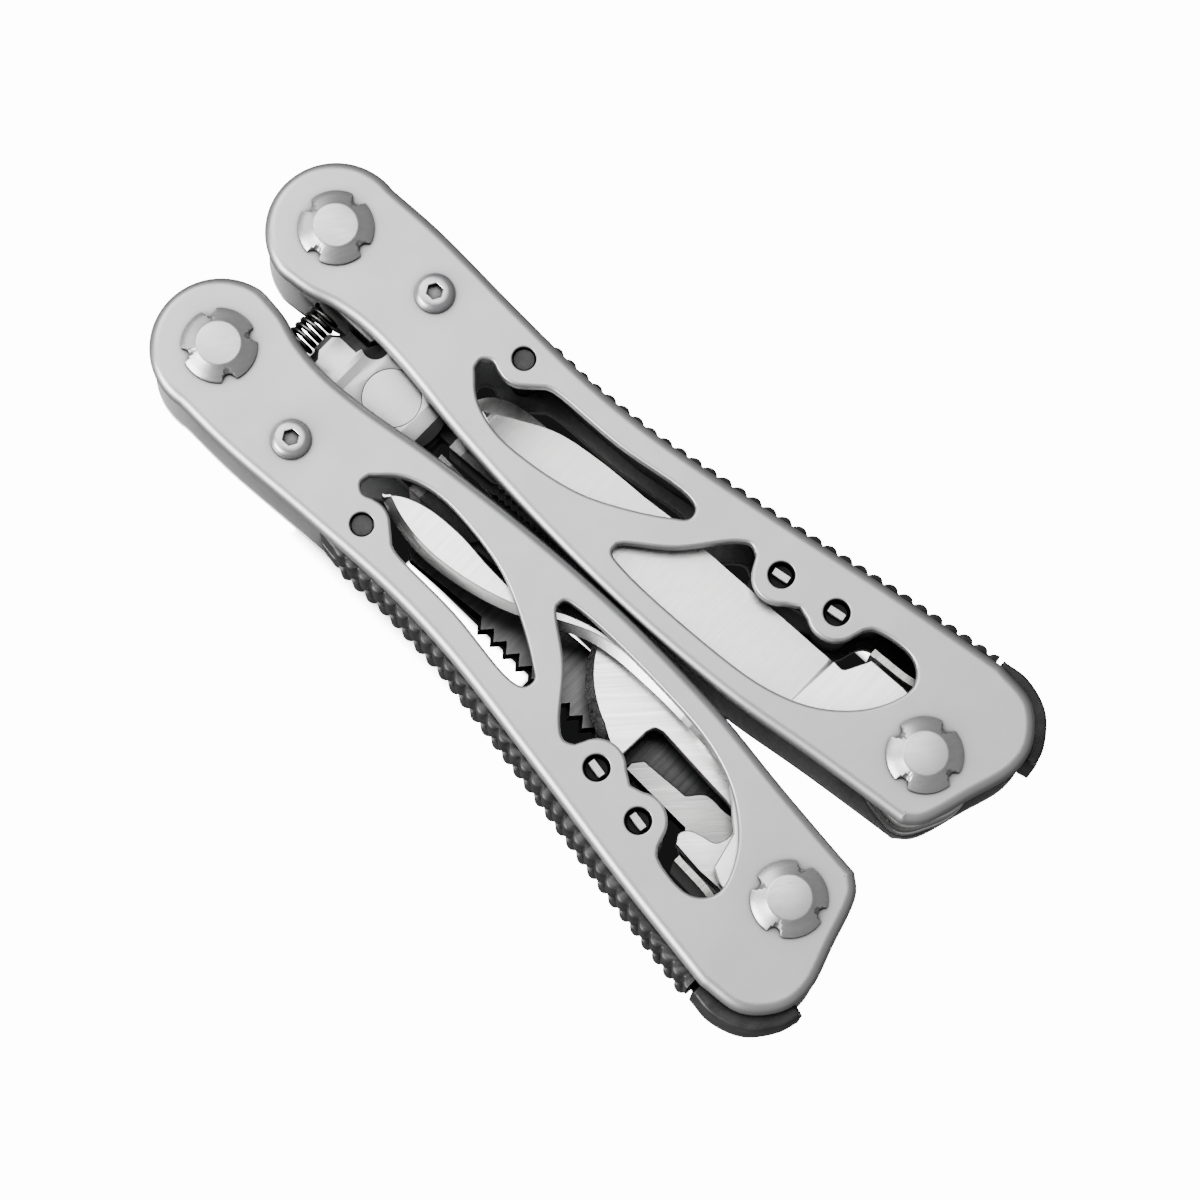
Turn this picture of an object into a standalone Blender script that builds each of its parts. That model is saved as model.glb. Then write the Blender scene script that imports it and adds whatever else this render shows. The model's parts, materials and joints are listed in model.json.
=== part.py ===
"""Folding multi tool: spring-loaded pliers between two skeleton handles that carry eight blades.

The tool lies closed on its back: X across, Y along (plier pivots at +Y), Z up, in metres.
Lengths below are in millimetres and are scaled once, when a mesh is made.
Handle places are given as (s, t): s runs from the plier pivot towards the blade pivot, t points outward.
"""

import math

import bmesh
import bpy
from mathutils import Matrix, Vector
from mathutils.geometry import tessellate_polygon

MM = 0.001

# Overall layout
ARM_PIVOT_X = 8.92          # half the distance between the two handle pivots
ARM_PIVOT_Y = 42.79         # puts the origin under the middle of the closed tool
PIVOT_SPAN = 84.0           # plier pivot to blade pivot along a handle
HANDLE_SPLAY = math.radians(1.03)
JAW_PIVOT_Y = ARM_PIVOT_Y - 16.7
JAW_TRAVEL = math.radians(6.0)

# Heights
HEAD_HEIGHT = 1.3
HEAD_GAP = 0.1
PLATE = 1.6
CAVITY = 10.4
GAP = 0.3
BACK_FACE = HEAD_HEIGHT + HEAD_GAP
CAVITY_FLOOR = BACK_FACE + PLATE
CAVITY_ROOF = CAVITY_FLOOR + CAVITY
FRONT_FACE = CAVITY_ROOF + PLATE
MID = (CAVITY_FLOOR + CAVITY_ROOF) / 2

# Holes and pins
PIVOT_SHAFT = 1.5
PIVOT_HOLE = 1.8
SCREW_AT = (12.62, 1.83)
SCREW_SHAFT = 1.25
BARREL_RADIUS = 1.6
ANCHOR_AT = (24.38, 3.04)
ANCHOR_HOLE = 1.3
ANCHOR_RADIUS = 1.0
GRIP_PINS_AT = ((60.12, 4.17), (67.10, 5.12))
GRIP_HOLE = 1.45
GRIP_PIN_RADIUS = 1.15
GRIP_BAR_SLOPE = 0.156      # the bars lie along the handle's outer edge
LEVER_PIVOT_AT = (85.4, 10.2)
LEVER_PIN_RADIUS = 0.8

# Blades
BLADE = 1.7
WASHER = 0.4
LAYER_PITCH = BLADE + WASHER + 2 * GAP
TANG_RADIUS = 6.2
WASHER_RADIUS = 4.0

# Pliers
LAP_RADIUS = 6.3
LAP_CLEARANCE = 6.6
BOSS_RADIUS = 5.0
ARM_HALF = 4.2              # half the height of the arms and the joint
JAW_HALF = 2.9              # half the height of the jaws
RIVET_RADIUS = 3.2

# Knurling of the grip spines
TEETH = 31
TOOTH_PITCH = 1.88
FIRST_TOOTH = 24.5

SIDES = {"left": -1, "right": 1}

FINISHES = {
    "satin_plate": ((0.62, 0.62, 0.63), 0.38, 0.95),
    "bright_bolt": ((0.74, 0.74, 0.75), 0.25, 1.0),
    "blade_steel": ((0.80, 0.80, 0.79), 0.22, 1.0),
    "plier_steel": ((0.66, 0.66, 0.66), 0.35, 1.0),
    "dark_grip": ((0.10, 0.10, 0.10), 0.55, 0.6),
    "black_pin": ((0.03, 0.03, 0.03), 0.45, 0.7),
    "spring_steel": ((0.35, 0.35, 0.35), 0.30, 1.0),
}


# ---------------------------------------------------------------- outlines

def arc(centre, radius, start, end, steps):
    """Points on an arc, angles in degrees, both ends included."""
    points = []
    for i in range(steps + 1):
        a = math.radians(start + (end - start) * i / steps)
        points.append((centre[0] + radius * math.cos(a), centre[1] + radius * math.sin(a)))
    return points


def circle(centre, radius, steps=16):
    return arc(centre, radius, 0, 360 * (steps - 1) / steps, steps - 1)


def smooth(points, steps=2):
    """Centripetal Catmull-Rom curve through the points."""
    pts = [Vector(p) for p in points]
    out = []
    for i in range(len(pts) - 1):
        p1 = pts[i]
        p2 = pts[i + 1]
        p0 = pts[i - 1] if i > 0 else p1 * 2 - p2
        p3 = pts[i + 2] if i + 2 < len(pts) else p2 * 2 - p1
        t1 = (p1 - p0).length ** 0.5
        t2 = t1 + (p2 - p1).length ** 0.5
        t3 = t2 + (p3 - p2).length ** 0.5
        for k in range(steps):
            t = t1 + (t2 - t1) * k / steps
            a1 = p0 * ((t1 - t) / t1) + p1 * (t / t1)
            a2 = p1 * ((t2 - t) / (t2 - t1)) + p2 * ((t - t1) / (t2 - t1))
            a3 = p2 * ((t3 - t) / (t3 - t2)) + p3 * ((t - t2) / (t3 - t2))
            b1 = a1 * ((t2 - t) / t2) + a2 * (t / t2)
            b2 = a2 * ((t3 - t) / (t3 - t1)) + a3 * ((t - t1) / (t3 - t1))
            c = b1 * ((t2 - t) / (t2 - t1)) + b2 * ((t - t1) / (t2 - t1))
            out.append((c.x, c.y))
    out.append((pts[-1].x, pts[-1].y))
    return out


def inset(points, distance):
    """Move a closed counter-clockwise outline inwards along its normals."""
    count = len(points)
    out = []
    for i, p in enumerate(points):
        before = Vector(points[i - 1])
        after = Vector(points[(i + 1) % count])
        along = (after - before).normalized()
        out.append((p[0] - along.y * distance, p[1] + along.x * distance))
    return out


def counter_clockwise(points):
    area = sum(a[0] * b[1] - b[0] * a[1] for a, b in zip(points, points[1:] + points[:1]))
    return points if area > 0 else points[::-1]


def plate_outline():
    round_end = arc((0, -0.1), 7.6, 80, 262, 14)
    inner_edge = smooth([(-1.06, -7.63), (2.5, -7.25), (5.5, -6.4), (9.5, -5.95), (15, -6.3), (25, -7.85),
                         (40, -9.35), (52, -9.8), (65, -9.3), (75, -8.1), (84, -7.2), (86.9, -6.95)], 2)
    blade_end = smooth([(86.9, -6.95), (88.6, -5.4), (90.6, 0.2), (92.1, 5.2), (91.6, 8.6), (88.6, 11.9),
                        (83.5, 12.75)], 3)
    outer_edge = smooth([(83.5, 12.75), (70, 11.0), (55, 8.65), (40, 6.6), (31, 6.2), (20, 6.7),
                         (8, 7.45), (1.32, 7.38)], 2)
    return round_end[:-1] + inner_edge[1:-1] + blade_end[:-1] + outer_edge[:-1]


def upper_window():
    """Leaf-shaped opening that curls round the anchor pin."""
    nub = smooth([(21.2, -1.2), (21.1, -0.1), (22.1, 0.6), (23.3, 0.2)], 2)
    lobe = arc(ANCHOR_AT, 3.0, -98, -52, 4)
    roof = smooth([(28.2, 2.35), (29.2, 2.65), (38, 2.9), (47.2, 3.85), (48.7, 3.3), (48.9, 2.1), (47.4, 0.85),
                   (43.5, -1.5), (38.5, -3.7), (32.5, -4.8), (27.5, -4.85), (23.8, -3.6), (21.2, -1.2)], 2)
    return nub[:-1] + lobe + roof[:-1]


def lower_window():
    """Wing-shaped opening with two lobes for the grip pins."""
    slant = smooth([(45.15, -5.2), (45.6, -4.6), (50.0, -1.25), (54.2, 3.6), (55.6, 4.45), (56.9, 3.9)], 2)
    lobe_a = arc(GRIP_PINS_AT[0], 3.15, -160, -42, 7)
    saddle = [(63.9, 3.0)]
    lobe_b = arc(GRIP_PINS_AT[1], 3.1, -125, -12, 7)
    rest = smooth([(70.5, 5.6), (71.3, 6.45), (75.6, 7.05), (77.4, 6.2), (78.3, 4.4), (76.6, 0.1), (72.5, -3.7),
                   (67, -5.85), (58, -6.7), (47.2, -6.6), (45.3, -6.1), (45.15, -5.2)], 2)
    return slant[:-1] + lobe_a + saddle + lobe_b + rest[:-1]


def edge_offset(s):
    """Outer edge of a handle plate at s, read from its control points."""
    knots = ((20, 6.7), (31, 6.2), (40, 6.6), (55, 8.65), (70, 11.0), (83.5, 12.75))
    for (s0, t0), (s1, t1) in zip(knots, knots[1:]):
        if s <= s1:
            k = (s - s0) / (s1 - s0)
            return t0 + (t1 - t0) * k
    return knots[-1][1]


def tang(start=140, end=-140):
    return arc((PIVOT_SPAN, 0), TANG_RADIUS, start, end, 14)


# ---------------------------------------------------------------- places

def handle_point(side, s, t):
    """(s, t) on a handle to world X and Y in millimetres."""
    sn = math.sin(HANDLE_SPLAY)
    cs = math.cos(HANDLE_SPLAY)
    return (side * (ARM_PIVOT_X + s * sn + t * cs), ARM_PIVOT_Y - s * cs + t * sn)


def on_handle(side, points):
    return [handle_point(side, s, t) for s, t in points]


def arm_pivot(side):
    return (side * ARM_PIVOT_X, ARM_PIVOT_Y)


def blade_pivot(side):
    return handle_point(side, PIVOT_SPAN, 0)


# ---------------------------------------------------------------- meshes

def finish_material(name):
    material = bpy.data.materials.get(name)
    if material:
        return material
    colour, roughness, metallic = FINISHES[name]
    material = bpy.data.materials.new(name)
    material.use_nodes = True
    shader = material.node_tree.nodes["Principled BSDF"]
    shader.inputs["Base Color"].default_value = (*colour, 1)
    shader.inputs["Roughness"].default_value = roughness
    shader.inputs["Metallic"].default_value = metallic
    return material


def make_object(name, bm, finish, pivot):
    """Scale to metres, put the object's origin on its pivot and link it."""
    bmesh.ops.recalc_face_normals(bm, faces=bm.faces)
    origin = Vector((pivot[0], pivot[1], MID)) * MM
    bm.transform(Matrix.Translation(-origin) @ Matrix.Scale(MM, 4))
    mesh = bpy.data.meshes.new(name)
    bm.to_mesh(mesh)
    bm.free()
    mesh.shade_smooth()
    mesh.set_sharp_from_angle(angle=math.radians(35))
    mesh.materials.append(finish_material(finish))
    obj = bpy.data.objects.new(name, mesh)
    obj.location = origin
    bpy.context.scene.collection.objects.link(obj)
    return obj


def add_prism(bm, levels, holes=()):
    """Closed solid from equal-length outlines at rising heights, with straight holes through it."""
    first_height = levels[0][0]
    last_height = levels[-1][0]
    rings = []
    for height, outline in levels:
        rings.append([bm.verts.new((x, y, height)) for x, y in outline])
    for lower, upper in zip(rings, rings[1:]):
        skin(bm, lower, upper)
    bottom_loops = [rings[0]]
    top_loops = [rings[-1]]
    for hole in holes:
        lower = [bm.verts.new((x, y, first_height)) for x, y in hole]
        upper = [bm.verts.new((x, y, last_height)) for x, y in hole]
        skin(bm, lower, upper)
        bottom_loops.append(lower)
        top_loops.append(upper)
    cap(bm, bottom_loops)
    cap(bm, top_loops)


def skin(bm, lower, upper):
    count = len(lower)
    for i in range(count):
        j = (i + 1) % count
        bm.faces.new((lower[i], lower[j], upper[j], upper[i]))


def cap(bm, loops):
    verts = [v for loop in loops for v in loop]
    for tri in tessellate_polygon([[v.co for v in loop] for loop in loops]):
        bm.faces.new([verts[i] for i in tri])


def prism(name, outline, low, high, finish, pivot, holes=()):
    bm = bmesh.new()
    outline = counter_clockwise(outline)
    add_prism(bm, [(low, outline), (high, outline)], holes)
    return make_object(name, bm, finish, pivot)


def turned(name, centre, profile, finish, pivot, steps=24):
    """Round solid from (radius, height) steps, closed at both ends."""
    bm = bmesh.new()
    add_prism(bm, [(height, circle(centre, radius, steps)) for radius, height in profile])
    return make_object(name, bm, finish, pivot)


def boolean(target, operation, cutter):
    cutter.hide_render = True
    cutter.display_type = "WIRE"
    modifier = target.modifiers.new(operation.title(), "BOOLEAN")
    modifier.operation = operation
    modifier.solver = "EXACT"
    modifier.object = cutter


# ---------------------------------------------------------------- handles

def handle_plate(name, side, outer_face, inner_face):
    """Skeleton side plate whose outer rim is rolled over."""
    outline = counter_clockwise(on_handle(side, plate_outline()))
    step = (outer_face - inner_face) / PLATE
    levels = [(inner_face, outline), (outer_face - 0.55 * step, outline), (outer_face, inset(outline, 0.8))]
    round_holes = [((0, 0), PIVOT_HOLE), ((PIVOT_SPAN, 0), PIVOT_HOLE), (SCREW_AT, SCREW_SHAFT + GAP),
                   (ANCHOR_AT, ANCHOR_HOLE), (GRIP_PINS_AT[0], GRIP_HOLE), (GRIP_PINS_AT[1], GRIP_HOLE)]
    holes = [on_handle(side, circle(at, radius, 12)) for at, radius in round_holes]
    holes += [on_handle(side, upper_window()), on_handle(side, lower_window())]
    bm = bmesh.new()
    add_prism(bm, levels, holes)
    return make_object(name, bm, "satin_plate", arm_pivot(side))


def notched_ring(centre, radius, notch, steps):
    """Circle with four shallow round notches in its rim."""
    points = []
    for i in range(steps):
        a = 2 * math.pi * i / steps
        away = abs((a + math.pi / 4) % (math.pi / 2) - math.pi / 4) * radius
        dip = math.sqrt(max(0.0, notch ** 2 - away ** 2))
        points.append((centre[0] + (radius - dip) * math.cos(a), centre[1] + (radius - dip) * math.sin(a)))
    return points


def pivot_fastener(name, side, at, facing, shaft_end):
    """Notched cone head with its shaft; facing is +1 for the front bolt and -1 for the back nut."""
    face = FRONT_FACE + HEAD_GAP if facing > 0 else BACK_FACE - HEAD_GAP
    centre = handle_point(side, *at)
    steps = 24
    shaft = circle(centre, PIVOT_SHAFT, steps)
    levels = [(shaft_end, shaft), (face, shaft),
              (face + 0.001 * facing, notched_ring(centre, 4.1, 0.8, steps)),
              (face + 0.35 * facing, notched_ring(centre, 4.0, 0.8, steps)),
              (face + HEAD_HEIGHT * facing, circle(centre, 2.35, steps))]
    bm = bmesh.new()
    add_prism(bm, levels)
    return make_object(name, bm, "bright_bolt", arm_pivot(side))


def spacer_screw(name, side, facing):
    """Button-head screw with a hexagon socket."""
    face = FRONT_FACE + HEAD_GAP if facing > 0 else BACK_FACE - HEAD_GAP
    centre = handle_point(side, *SCREW_AT)
    steps = 12
    shaft = circle(centre, SCREW_SHAFT, steps)
    hexagon = []
    for i in range(steps):
        a = 2 * math.pi * i / steps
        across = 0.8 / math.cos((a + math.pi / 6) % (math.pi / 3) - math.pi / 6)
        hexagon.append((centre[0] + across * math.cos(a), centre[1] + across * math.sin(a)))
    depth = -(PLATE + HEAD_GAP) * facing
    levels = [(face + depth, shaft), (face, shaft), (face + 0.001 * facing, circle(centre, 2.2, steps)),
              (face + 0.5 * facing, circle(centre, 2.05, steps)), (face + 1.0 * facing, circle(centre, 1.45, steps)),
              (face + 1.1 * facing, hexagon), (face + 0.1 * facing, hexagon)]
    bm = bmesh.new()
    add_prism(bm, levels)
    return make_object(name, bm, "bright_bolt", arm_pivot(side))


def spacer_barrel(name, side):
    return turned(name, handle_point(side, *SCREW_AT),
                  [(BARREL_RADIUS, CAVITY_FLOOR + GAP), (BARREL_RADIUS, CAVITY_ROOF - GAP)], "plier_steel", arm_pivot(side))


def grip_spine(name, side):
    """Knurled back strip between the plates, with two bosses for its pins."""
    outer = [(FIRST_TOOTH - 2.5, edge_offset(FIRST_TOOTH) - 1.0)]
    for i in range(TEETH):
        s = FIRST_TOOTH + i * TOOTH_PITCH
        base = edge_offset(s) + 0.25 + 0.55 * i / TEETH
        outer += [(s, base), (s + 0.4 * TOOTH_PITCH, base + 0.45), (s + 0.75 * TOOTH_PITCH, base + 0.35)]
    end = FIRST_TOOTH + TEETH * TOOTH_PITCH
    inner = [(end, edge_offset(end) - 2.0), (72.0, edge_offset(72) - 2.6)]
    inner += arc(GRIP_PINS_AT[1], 2.2, 20, -120, 6) + arc(GRIP_PINS_AT[0], 2.2, -60, -200, 6)
    inner += [(56.5, edge_offset(56.5) - 2.2), (40, edge_offset(40) - 2.2), (31, edge_offset(31) - 2.0),
              (26.5, edge_offset(26.5) - 1.9)]
    holes = [on_handle(side, circle(at, GRIP_PIN_RADIUS + GAP, 14)) for at in GRIP_PINS_AT]
    return prism(name, on_handle(side, outer + inner), CAVITY_FLOOR + GAP, CAVITY_ROOF - GAP,
                 "dark_grip", arm_pivot(side), holes)


def cross_pin(name, side, at, radius, sink):
    """Plain pin through the cavity that ends below the plate faces."""
    return turned(name, handle_point(side, *at), [(radius, BACK_FACE + sink), (radius, FRONT_FACE - sink)],
                  "black_pin", arm_pivot(side), 14)


def slotted_pin(name, side, at):
    """Grip pin whose ends carry a flat bar, like a screwdriver tip."""
    centre = handle_point(side, *at)
    steps = 12
    rim = circle(centre, GRIP_PIN_RADIUS, steps)
    ahead = handle_point(side, at[0] + 1, at[1] + GRIP_BAR_SLOPE)
    lean = math.atan2(ahead[1] - centre[1], ahead[0] - centre[0])
    bar = []
    for i in range(steps):
        a = 2 * math.pi * i / steps
        long_way = max(-1.0, min(1.0, 1.5 * math.cos(a))) * 1.0
        short_way = max(-1.0, min(1.0, 1.5 * math.sin(a))) * 0.42
        x = long_way * math.cos(lean) - short_way * math.sin(lean)
        y = long_way * math.sin(lean) + short_way * math.cos(lean)
        bar.append((centre[0] + x, centre[1] + y))
    levels = [(BACK_FACE + 0.4, bar), (BACK_FACE + 1.3, bar), (BACK_FACE + 1.31, rim), (FRONT_FACE - 1.31, rim),
              (FRONT_FACE - 1.3, bar), (FRONT_FACE - 0.4, bar)]
    bm = bmesh.new()
    add_prism(bm, levels)
    return make_object(name, bm, "black_pin", arm_pivot(side))


def lock_lever(name, side):
    """Thumb pad that wraps the blade end of the handle and turns on its own pin."""
    pad = smooth([(83.4, 13.7), (86.5, 13.95), (90.2, 12.6), (92.6, 9.6), (93.3, 7.4)], 4)
    inside = [(92.2, 7.1), (90.2, 7.4)] + smooth([(89.5, 8.4), (88.2, 8.9), (85.5, 8.5), (83.4, 9.2)], 3)
    hole = on_handle(side, circle(LEVER_PIVOT_AT, LEVER_PIN_RADIUS + GAP, 12))
    return prism(name, on_handle(side, pad + inside), CAVITY_FLOOR + 1.0, CAVITY_ROOF - 1.0, "dark_grip",
                 handle_point(side, *LEVER_PIVOT_AT), [hole])


def leaf_spring(name, side):
    """Bent strip whose free end bears on the blade tangs."""
    lower = smooth([(72.5, 4.45), (78.2, 4.9), (79.3, 5.6), (79.6, 8.6)], 4)
    upper = smooth([(78.7, 8.6), (78.5, 6.4), (77.9, 5.8), (72.5, 5.3)], 4)
    return prism(name, on_handle(side, lower + upper), CAVITY_FLOOR + GAP, CAVITY_ROOF - GAP,
                 "spring_steel", arm_pivot(side))


# ---------------------------------------------------------------- blades

def blade_layer(layer):
    """Bottom and top of a blade layer, counted from the front plate."""
    top = CAVITY_ROOF - GAP - layer * LAYER_PITCH
    return top - BLADE, top


def main_knife():
    spine = smooth([(77.0, -5.9), (70, -6.9), (58, -7.4), (45, -7.1), (35, -6.3), (28.5, -5.2), (24.4, -3.85)])
    edge = smooth([(24.4, -3.85), (28, -1.9), (32, -0.1), (37, 0.7), (45, 1.05), (70.3, 1.35)])
    return spine[:-1] + edge + [(71.5, 1.25), (72.3, 2.6), (73.1, 4.1), (77.5, 4.2)]


def serrated_knife():
    spine = smooth([(77.0, -5.5), (60, -6.6), (45, -6.4), (31, -5.4), (25, -4.4), (22.0, -2.9)])
    edge = smooth([(22.0, -2.9), (25, -1.1), (31, 0.0), (38, 0.6)])
    scallops = []
    for i in range(9):
        s = 39 + i * 3.2
        scallops += [(s, 1.0), (s + 0.8, 0.35), (s + 1.6, 0.15), (s + 2.4, 0.35)]
    return spine[:-1] + edge + scallops + [(68.5, 1.2), (72.0, 1.3), (73.4, 4.0), (77.5, 4.2)]


def flat_driver():
    return [(76.5, -4.4), (72.5, -2.1), (53, -2.1), (48.5, -3.2), (43.5, -3.0), (43.5, 1.6), (48.5, 1.9),
            (53, 0.9), (71.5, 0.9), (74, 3.8), (77.5, 4.1)]


def metal_file():
    return [(76.5, -4.8), (72.5, -4.3), (44.2, -4.1), (43.5, -3.4), (43.5, 0.6), (44.2, 1.3), (71.5, 1.3),
            (73.8, 3.9), (77.5, 4.1)]


def pen_blade():
    back = smooth([(77.0, -5.8), (70, -6.6), (60, -7.0), (51, -6.9), (46.5, -5.6), (42.5, -3.6), (37.5, -3.4),
                   (32, -3.75), (27.5, -3.3), (24.6, -2.1), (23.4, -0.8)])
    edge = smooth([(23.4, -0.8), (26.5, 0.25), (30.5, 0.75), (35, 0.35), (40, -0.8), (45, -2.4), (50.5, -3.8),
                   (58, -4.2), (70, -3.7), (75, -1.2)])
    return back[:-1] + edge + [(76, 2.8), (77.5, 3.6)]


def can_opener():
    hook = smooth([(50.1, -5.7), (50.8, -4.2), (53, -1.6), (56.5, 0.6), (60.6, 1.6)])
    return [(77.0, -5.6), (72, -6.3), (60, -6.6), (51, -6.4)] + hook + [(60.7, -3.2), (61.6, -4.0), (69, -3.6),
                                                                       (73, -2.4), (75, 2.6), (77.5, 3.8)]


def bottle_hook():
    return [(77.0, -4.9), (73, -3.0), (69.8, -2.8), (68.3, -1.2), (62.6, -0.8), (61.7, 0.3), (61.8, 1.2),
            (63.6, 1.6), (70.6, 1.7), (71.6, 3.4), (74, 4.0), (77.5, 4.2)]


def wood_saw():
    outline = smooth([(77.0, -5.2), (60, -5.9), (45, -5.2), (34, -3.4), (29, -0.9), (28.3, 0.3), (29.2, 1.0)])
    teeth = 16
    for i in range(teeth):
        s = 39.0 + i * 1.9
        outline += [(s, 0.5), (s + 0.95, 1.6)]
    return outline + [(70.0, 0.6), (72.3, 1.4), (73.6, 4.0), (77.5, 4.2)]


BLADES = {
    "right": (("main_knife", main_knife), ("flat_driver", flat_driver), ("metal_file", metal_file),
              ("serrated_knife", serrated_knife)),
    "left": (("pen_blade", pen_blade), ("can_opener", can_opener), ("bottle_hook", bottle_hook),
             ("wood_saw", wood_saw)),
}


def blades(side_name, side):
    """Four blades and the three washers between them, on one pivot shaft."""
    pivot = blade_pivot(side)
    hole = circle(pivot, PIVOT_SHAFT + GAP, 12)
    for layer, (name, outline) in enumerate(BLADES[side_name]):
        low, high = blade_layer(layer)
        prism(name, on_handle(side, outline() + tang()), low, high, "blade_steel", pivot, [hole])
        if layer:
            prism(f"washer_{side_name}_{layer}", circle(pivot, WASHER_RADIUS, 14), high + GAP, high + GAP + WASHER,
                  "spring_steel", arm_pivot(side), [hole])


# ---------------------------------------------------------------- pliers

def hull(points):
    """Convex hull, counter-clockwise."""
    points = sorted(set(points))
    chains = []
    for sequence in (points, points[::-1]):
        chain = []
        for p in sequence:
            while len(chain) > 1:
                (ax, ay), (bx, by) = chain[-2:]
                if (bx - ax) * (p[1] - ay) - (by - ay) * (p[0] - ax) > 0:
                    break
                chain.pop()
            chain.append(p)
        chains.append(chain[:-1])
    return chains[0] + chains[1]


def plier_half(name, side, pivot):
    """One forging: boss and arm on its own side, lap disc at the joint, jaw on the other side.

    side -1 has its lap on top; side +1 is the same forging turned over.
    """
    def place(points):
        return counter_clockwise([(-side * x, JAW_PIVOT_Y + y) for x, y in points])

    def block(label, points, low, high):
        low, high = sorted((MID - side * low, MID - side * high))
        return prism(f"{name}_{label}", place(points), low, high, "plier_steel", pivot)

    reach = 40.0
    arm_rise = ARM_PIVOT_Y - JAW_PIVOT_Y
    eye = (-ARM_PIVOT_X, arm_rise)
    lean = math.tan(JAW_TRAVEL / 2)
    body = hull(circle(eye, BOSS_RADIUS, 20) + circle((0, 0), LAP_RADIUS, 20))
    body = [p for p in body if p[1] > -5.0] + [(-3.83, -5.0), (3.83, -5.0)]
    body.sort(key=lambda p: math.atan2(p[1] - 4, p[0] + 4))
    neck = [(-4.2, 3.5), (1.0, 3.5), (1.0, 9.2), (0.4, 9.9), (-1.6, 9.9), (-2.4, 9.2), (-4.2, 9.0)]
    jaw = [(5.6, -7.1), (0.15 + lean * 7.1, -7.1), (0.15 + lean * 33, -33.0), (2.9, -33.6), (3.7, -32.8),
           (4.7, -17.2), (5.6, -16.6)]
    jaw_root = [(5.1, -2.5), (0.7, -2.5), (0.9, -10.5), (5.1, -10.5)]

    half = block("arm", body, -ARM_HALF, ARM_HALF)
    half.name = name
    boolean(half, "DIFFERENCE", block("spring_gap", [(-2.9, 4.4), (reach, 4.4), (reach, reach), (-2.9, reach)],
                                      -reach, reach))
    boolean(half, "DIFFERENCE", block("lap_relief", circle((0, 0), LAP_CLEARANCE, 24), -reach, 0.15))
    boolean(half, "UNION", block("boss", circle(eye, BOSS_RADIUS - 0.5, 20), GAP - CAVITY / 2, CAVITY / 2 - GAP))
    boolean(half, "UNION", block("lap", circle((0, 0), LAP_RADIUS - 0.1, 24), 0.3, ARM_HALF - 0.1))
    boolean(half, "UNION", block("neck", neck, 0.35, ARM_HALF - 0.2))
    boolean(half, "UNION", block("jaw_root", jaw_root, 0.25, JAW_HALF - 0.2))
    boolean(half, "UNION", block("jaw", jaw, -JAW_HALF, JAW_HALF))
    boolean(half, "DIFFERENCE", block("eye", circle(eye, PIVOT_SHAFT + 0.4, 14), -reach, reach))
    boolean(half, "DIFFERENCE", block("rivet_seat", circle((0, 0), RIVET_RADIUS + GAP, 20), -reach, reach))
    return half


def plier_rivet(name, pivot):
    profile = [(RIVET_RADIUS, MID - ARM_HALF), (RIVET_RADIUS, MID + ARM_HALF)]
    return turned(name, (0, JAW_PIVOT_Y), profile, "plier_steel", pivot, 20)


def coil_spring(name, pivot):
    """Compression spring lying across the tool between the two arms."""
    wire = 0.28
    coil = 1.5
    turns = 6
    length = 4.6
    per_turn = 9
    sides = 5
    centre = (0.0, ARM_PIVOT_Y - 4.9, MID + 1.5)
    bm = bmesh.new()
    rings = []
    for i in range(turns * per_turn + 1):
        a = 2 * math.pi * i / per_turn
        x = centre[0] - length / 2 + length * i / (turns * per_turn)
        ring = []
        for k in range(sides):
            b = 2 * math.pi * k / sides
            radius = coil + wire * math.cos(b)
            ring.append(bm.verts.new((x + wire * math.sin(b), centre[1] + radius * math.cos(a),
                                      centre[2] + radius * math.sin(a))))
        rings.append(ring)
    for lower, upper in zip(rings, rings[1:]):
        skin(bm, lower, upper)
    bm.faces.new(rings[0])
    bm.faces.new(rings[-1])
    return make_object(name, bm, "spring_steel", pivot)


# ---------------------------------------------------------------- assembly

def build_handle(side_name, side):
    handle_plate(f"front_plate_{side_name}", side, FRONT_FACE, CAVITY_ROOF)
    handle_plate(f"back_plate_{side_name}", side, BACK_FACE, CAVITY_FLOOR)
    nut_end = BACK_FACE + 0.5
    bolt_end = BACK_FACE + 0.8
    for label, at in (("arm", (0, 0)), ("blade", (PIVOT_SPAN, 0))):
        pivot_fastener(f"{label}_bolt_{side_name}", side, at, 1, bolt_end)
        pivot_fastener(f"{label}_nut_{side_name}", side, at, -1, nut_end)
    spacer_screw(f"spacer_screw_front_{side_name}", side, 1)
    spacer_screw(f"spacer_screw_back_{side_name}", side, -1)
    spacer_barrel(f"spacer_barrel_{side_name}", side)
    grip_spine(f"grip_spine_{side_name}", side)
    cross_pin(f"anchor_pin_{side_name}", side, ANCHOR_AT, ANCHOR_RADIUS, 0.6)
    for label, at in zip("ab", GRIP_PINS_AT):
        slotted_pin(f"grip_pin_{label}_{side_name}", side, at)
    lock_lever(f"lock_lever_{side_name}", side)
    turned(f"lever_pin_{side_name}", handle_point(side, *LEVER_PIVOT_AT),
           [(LEVER_PIN_RADIUS, CAVITY_FLOOR + GAP), (LEVER_PIN_RADIUS, CAVITY_ROOF - GAP)],
           "black_pin", arm_pivot(side), 12)
    leaf_spring(f"leaf_spring_{side_name}", side)
    blades(side_name, side)


def main():
    for obj in list(bpy.data.objects):
        bpy.data.objects.remove(obj, do_unlink=True)
    jaw_pivot = (0.0, JAW_PIVOT_Y)
    for side_name, side in SIDES.items():
        plier_half(f"plier_half_{side_name}", side, jaw_pivot)
        build_handle(side_name, side)
    plier_rivet("plier_rivet", jaw_pivot)
    coil_spring("coil_spring", jaw_pivot)


main()
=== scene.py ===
import bpy, bmesh, json, math
from mathutils import Vector, Matrix
from mathutils.geometry import tessellate_polygon


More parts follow.
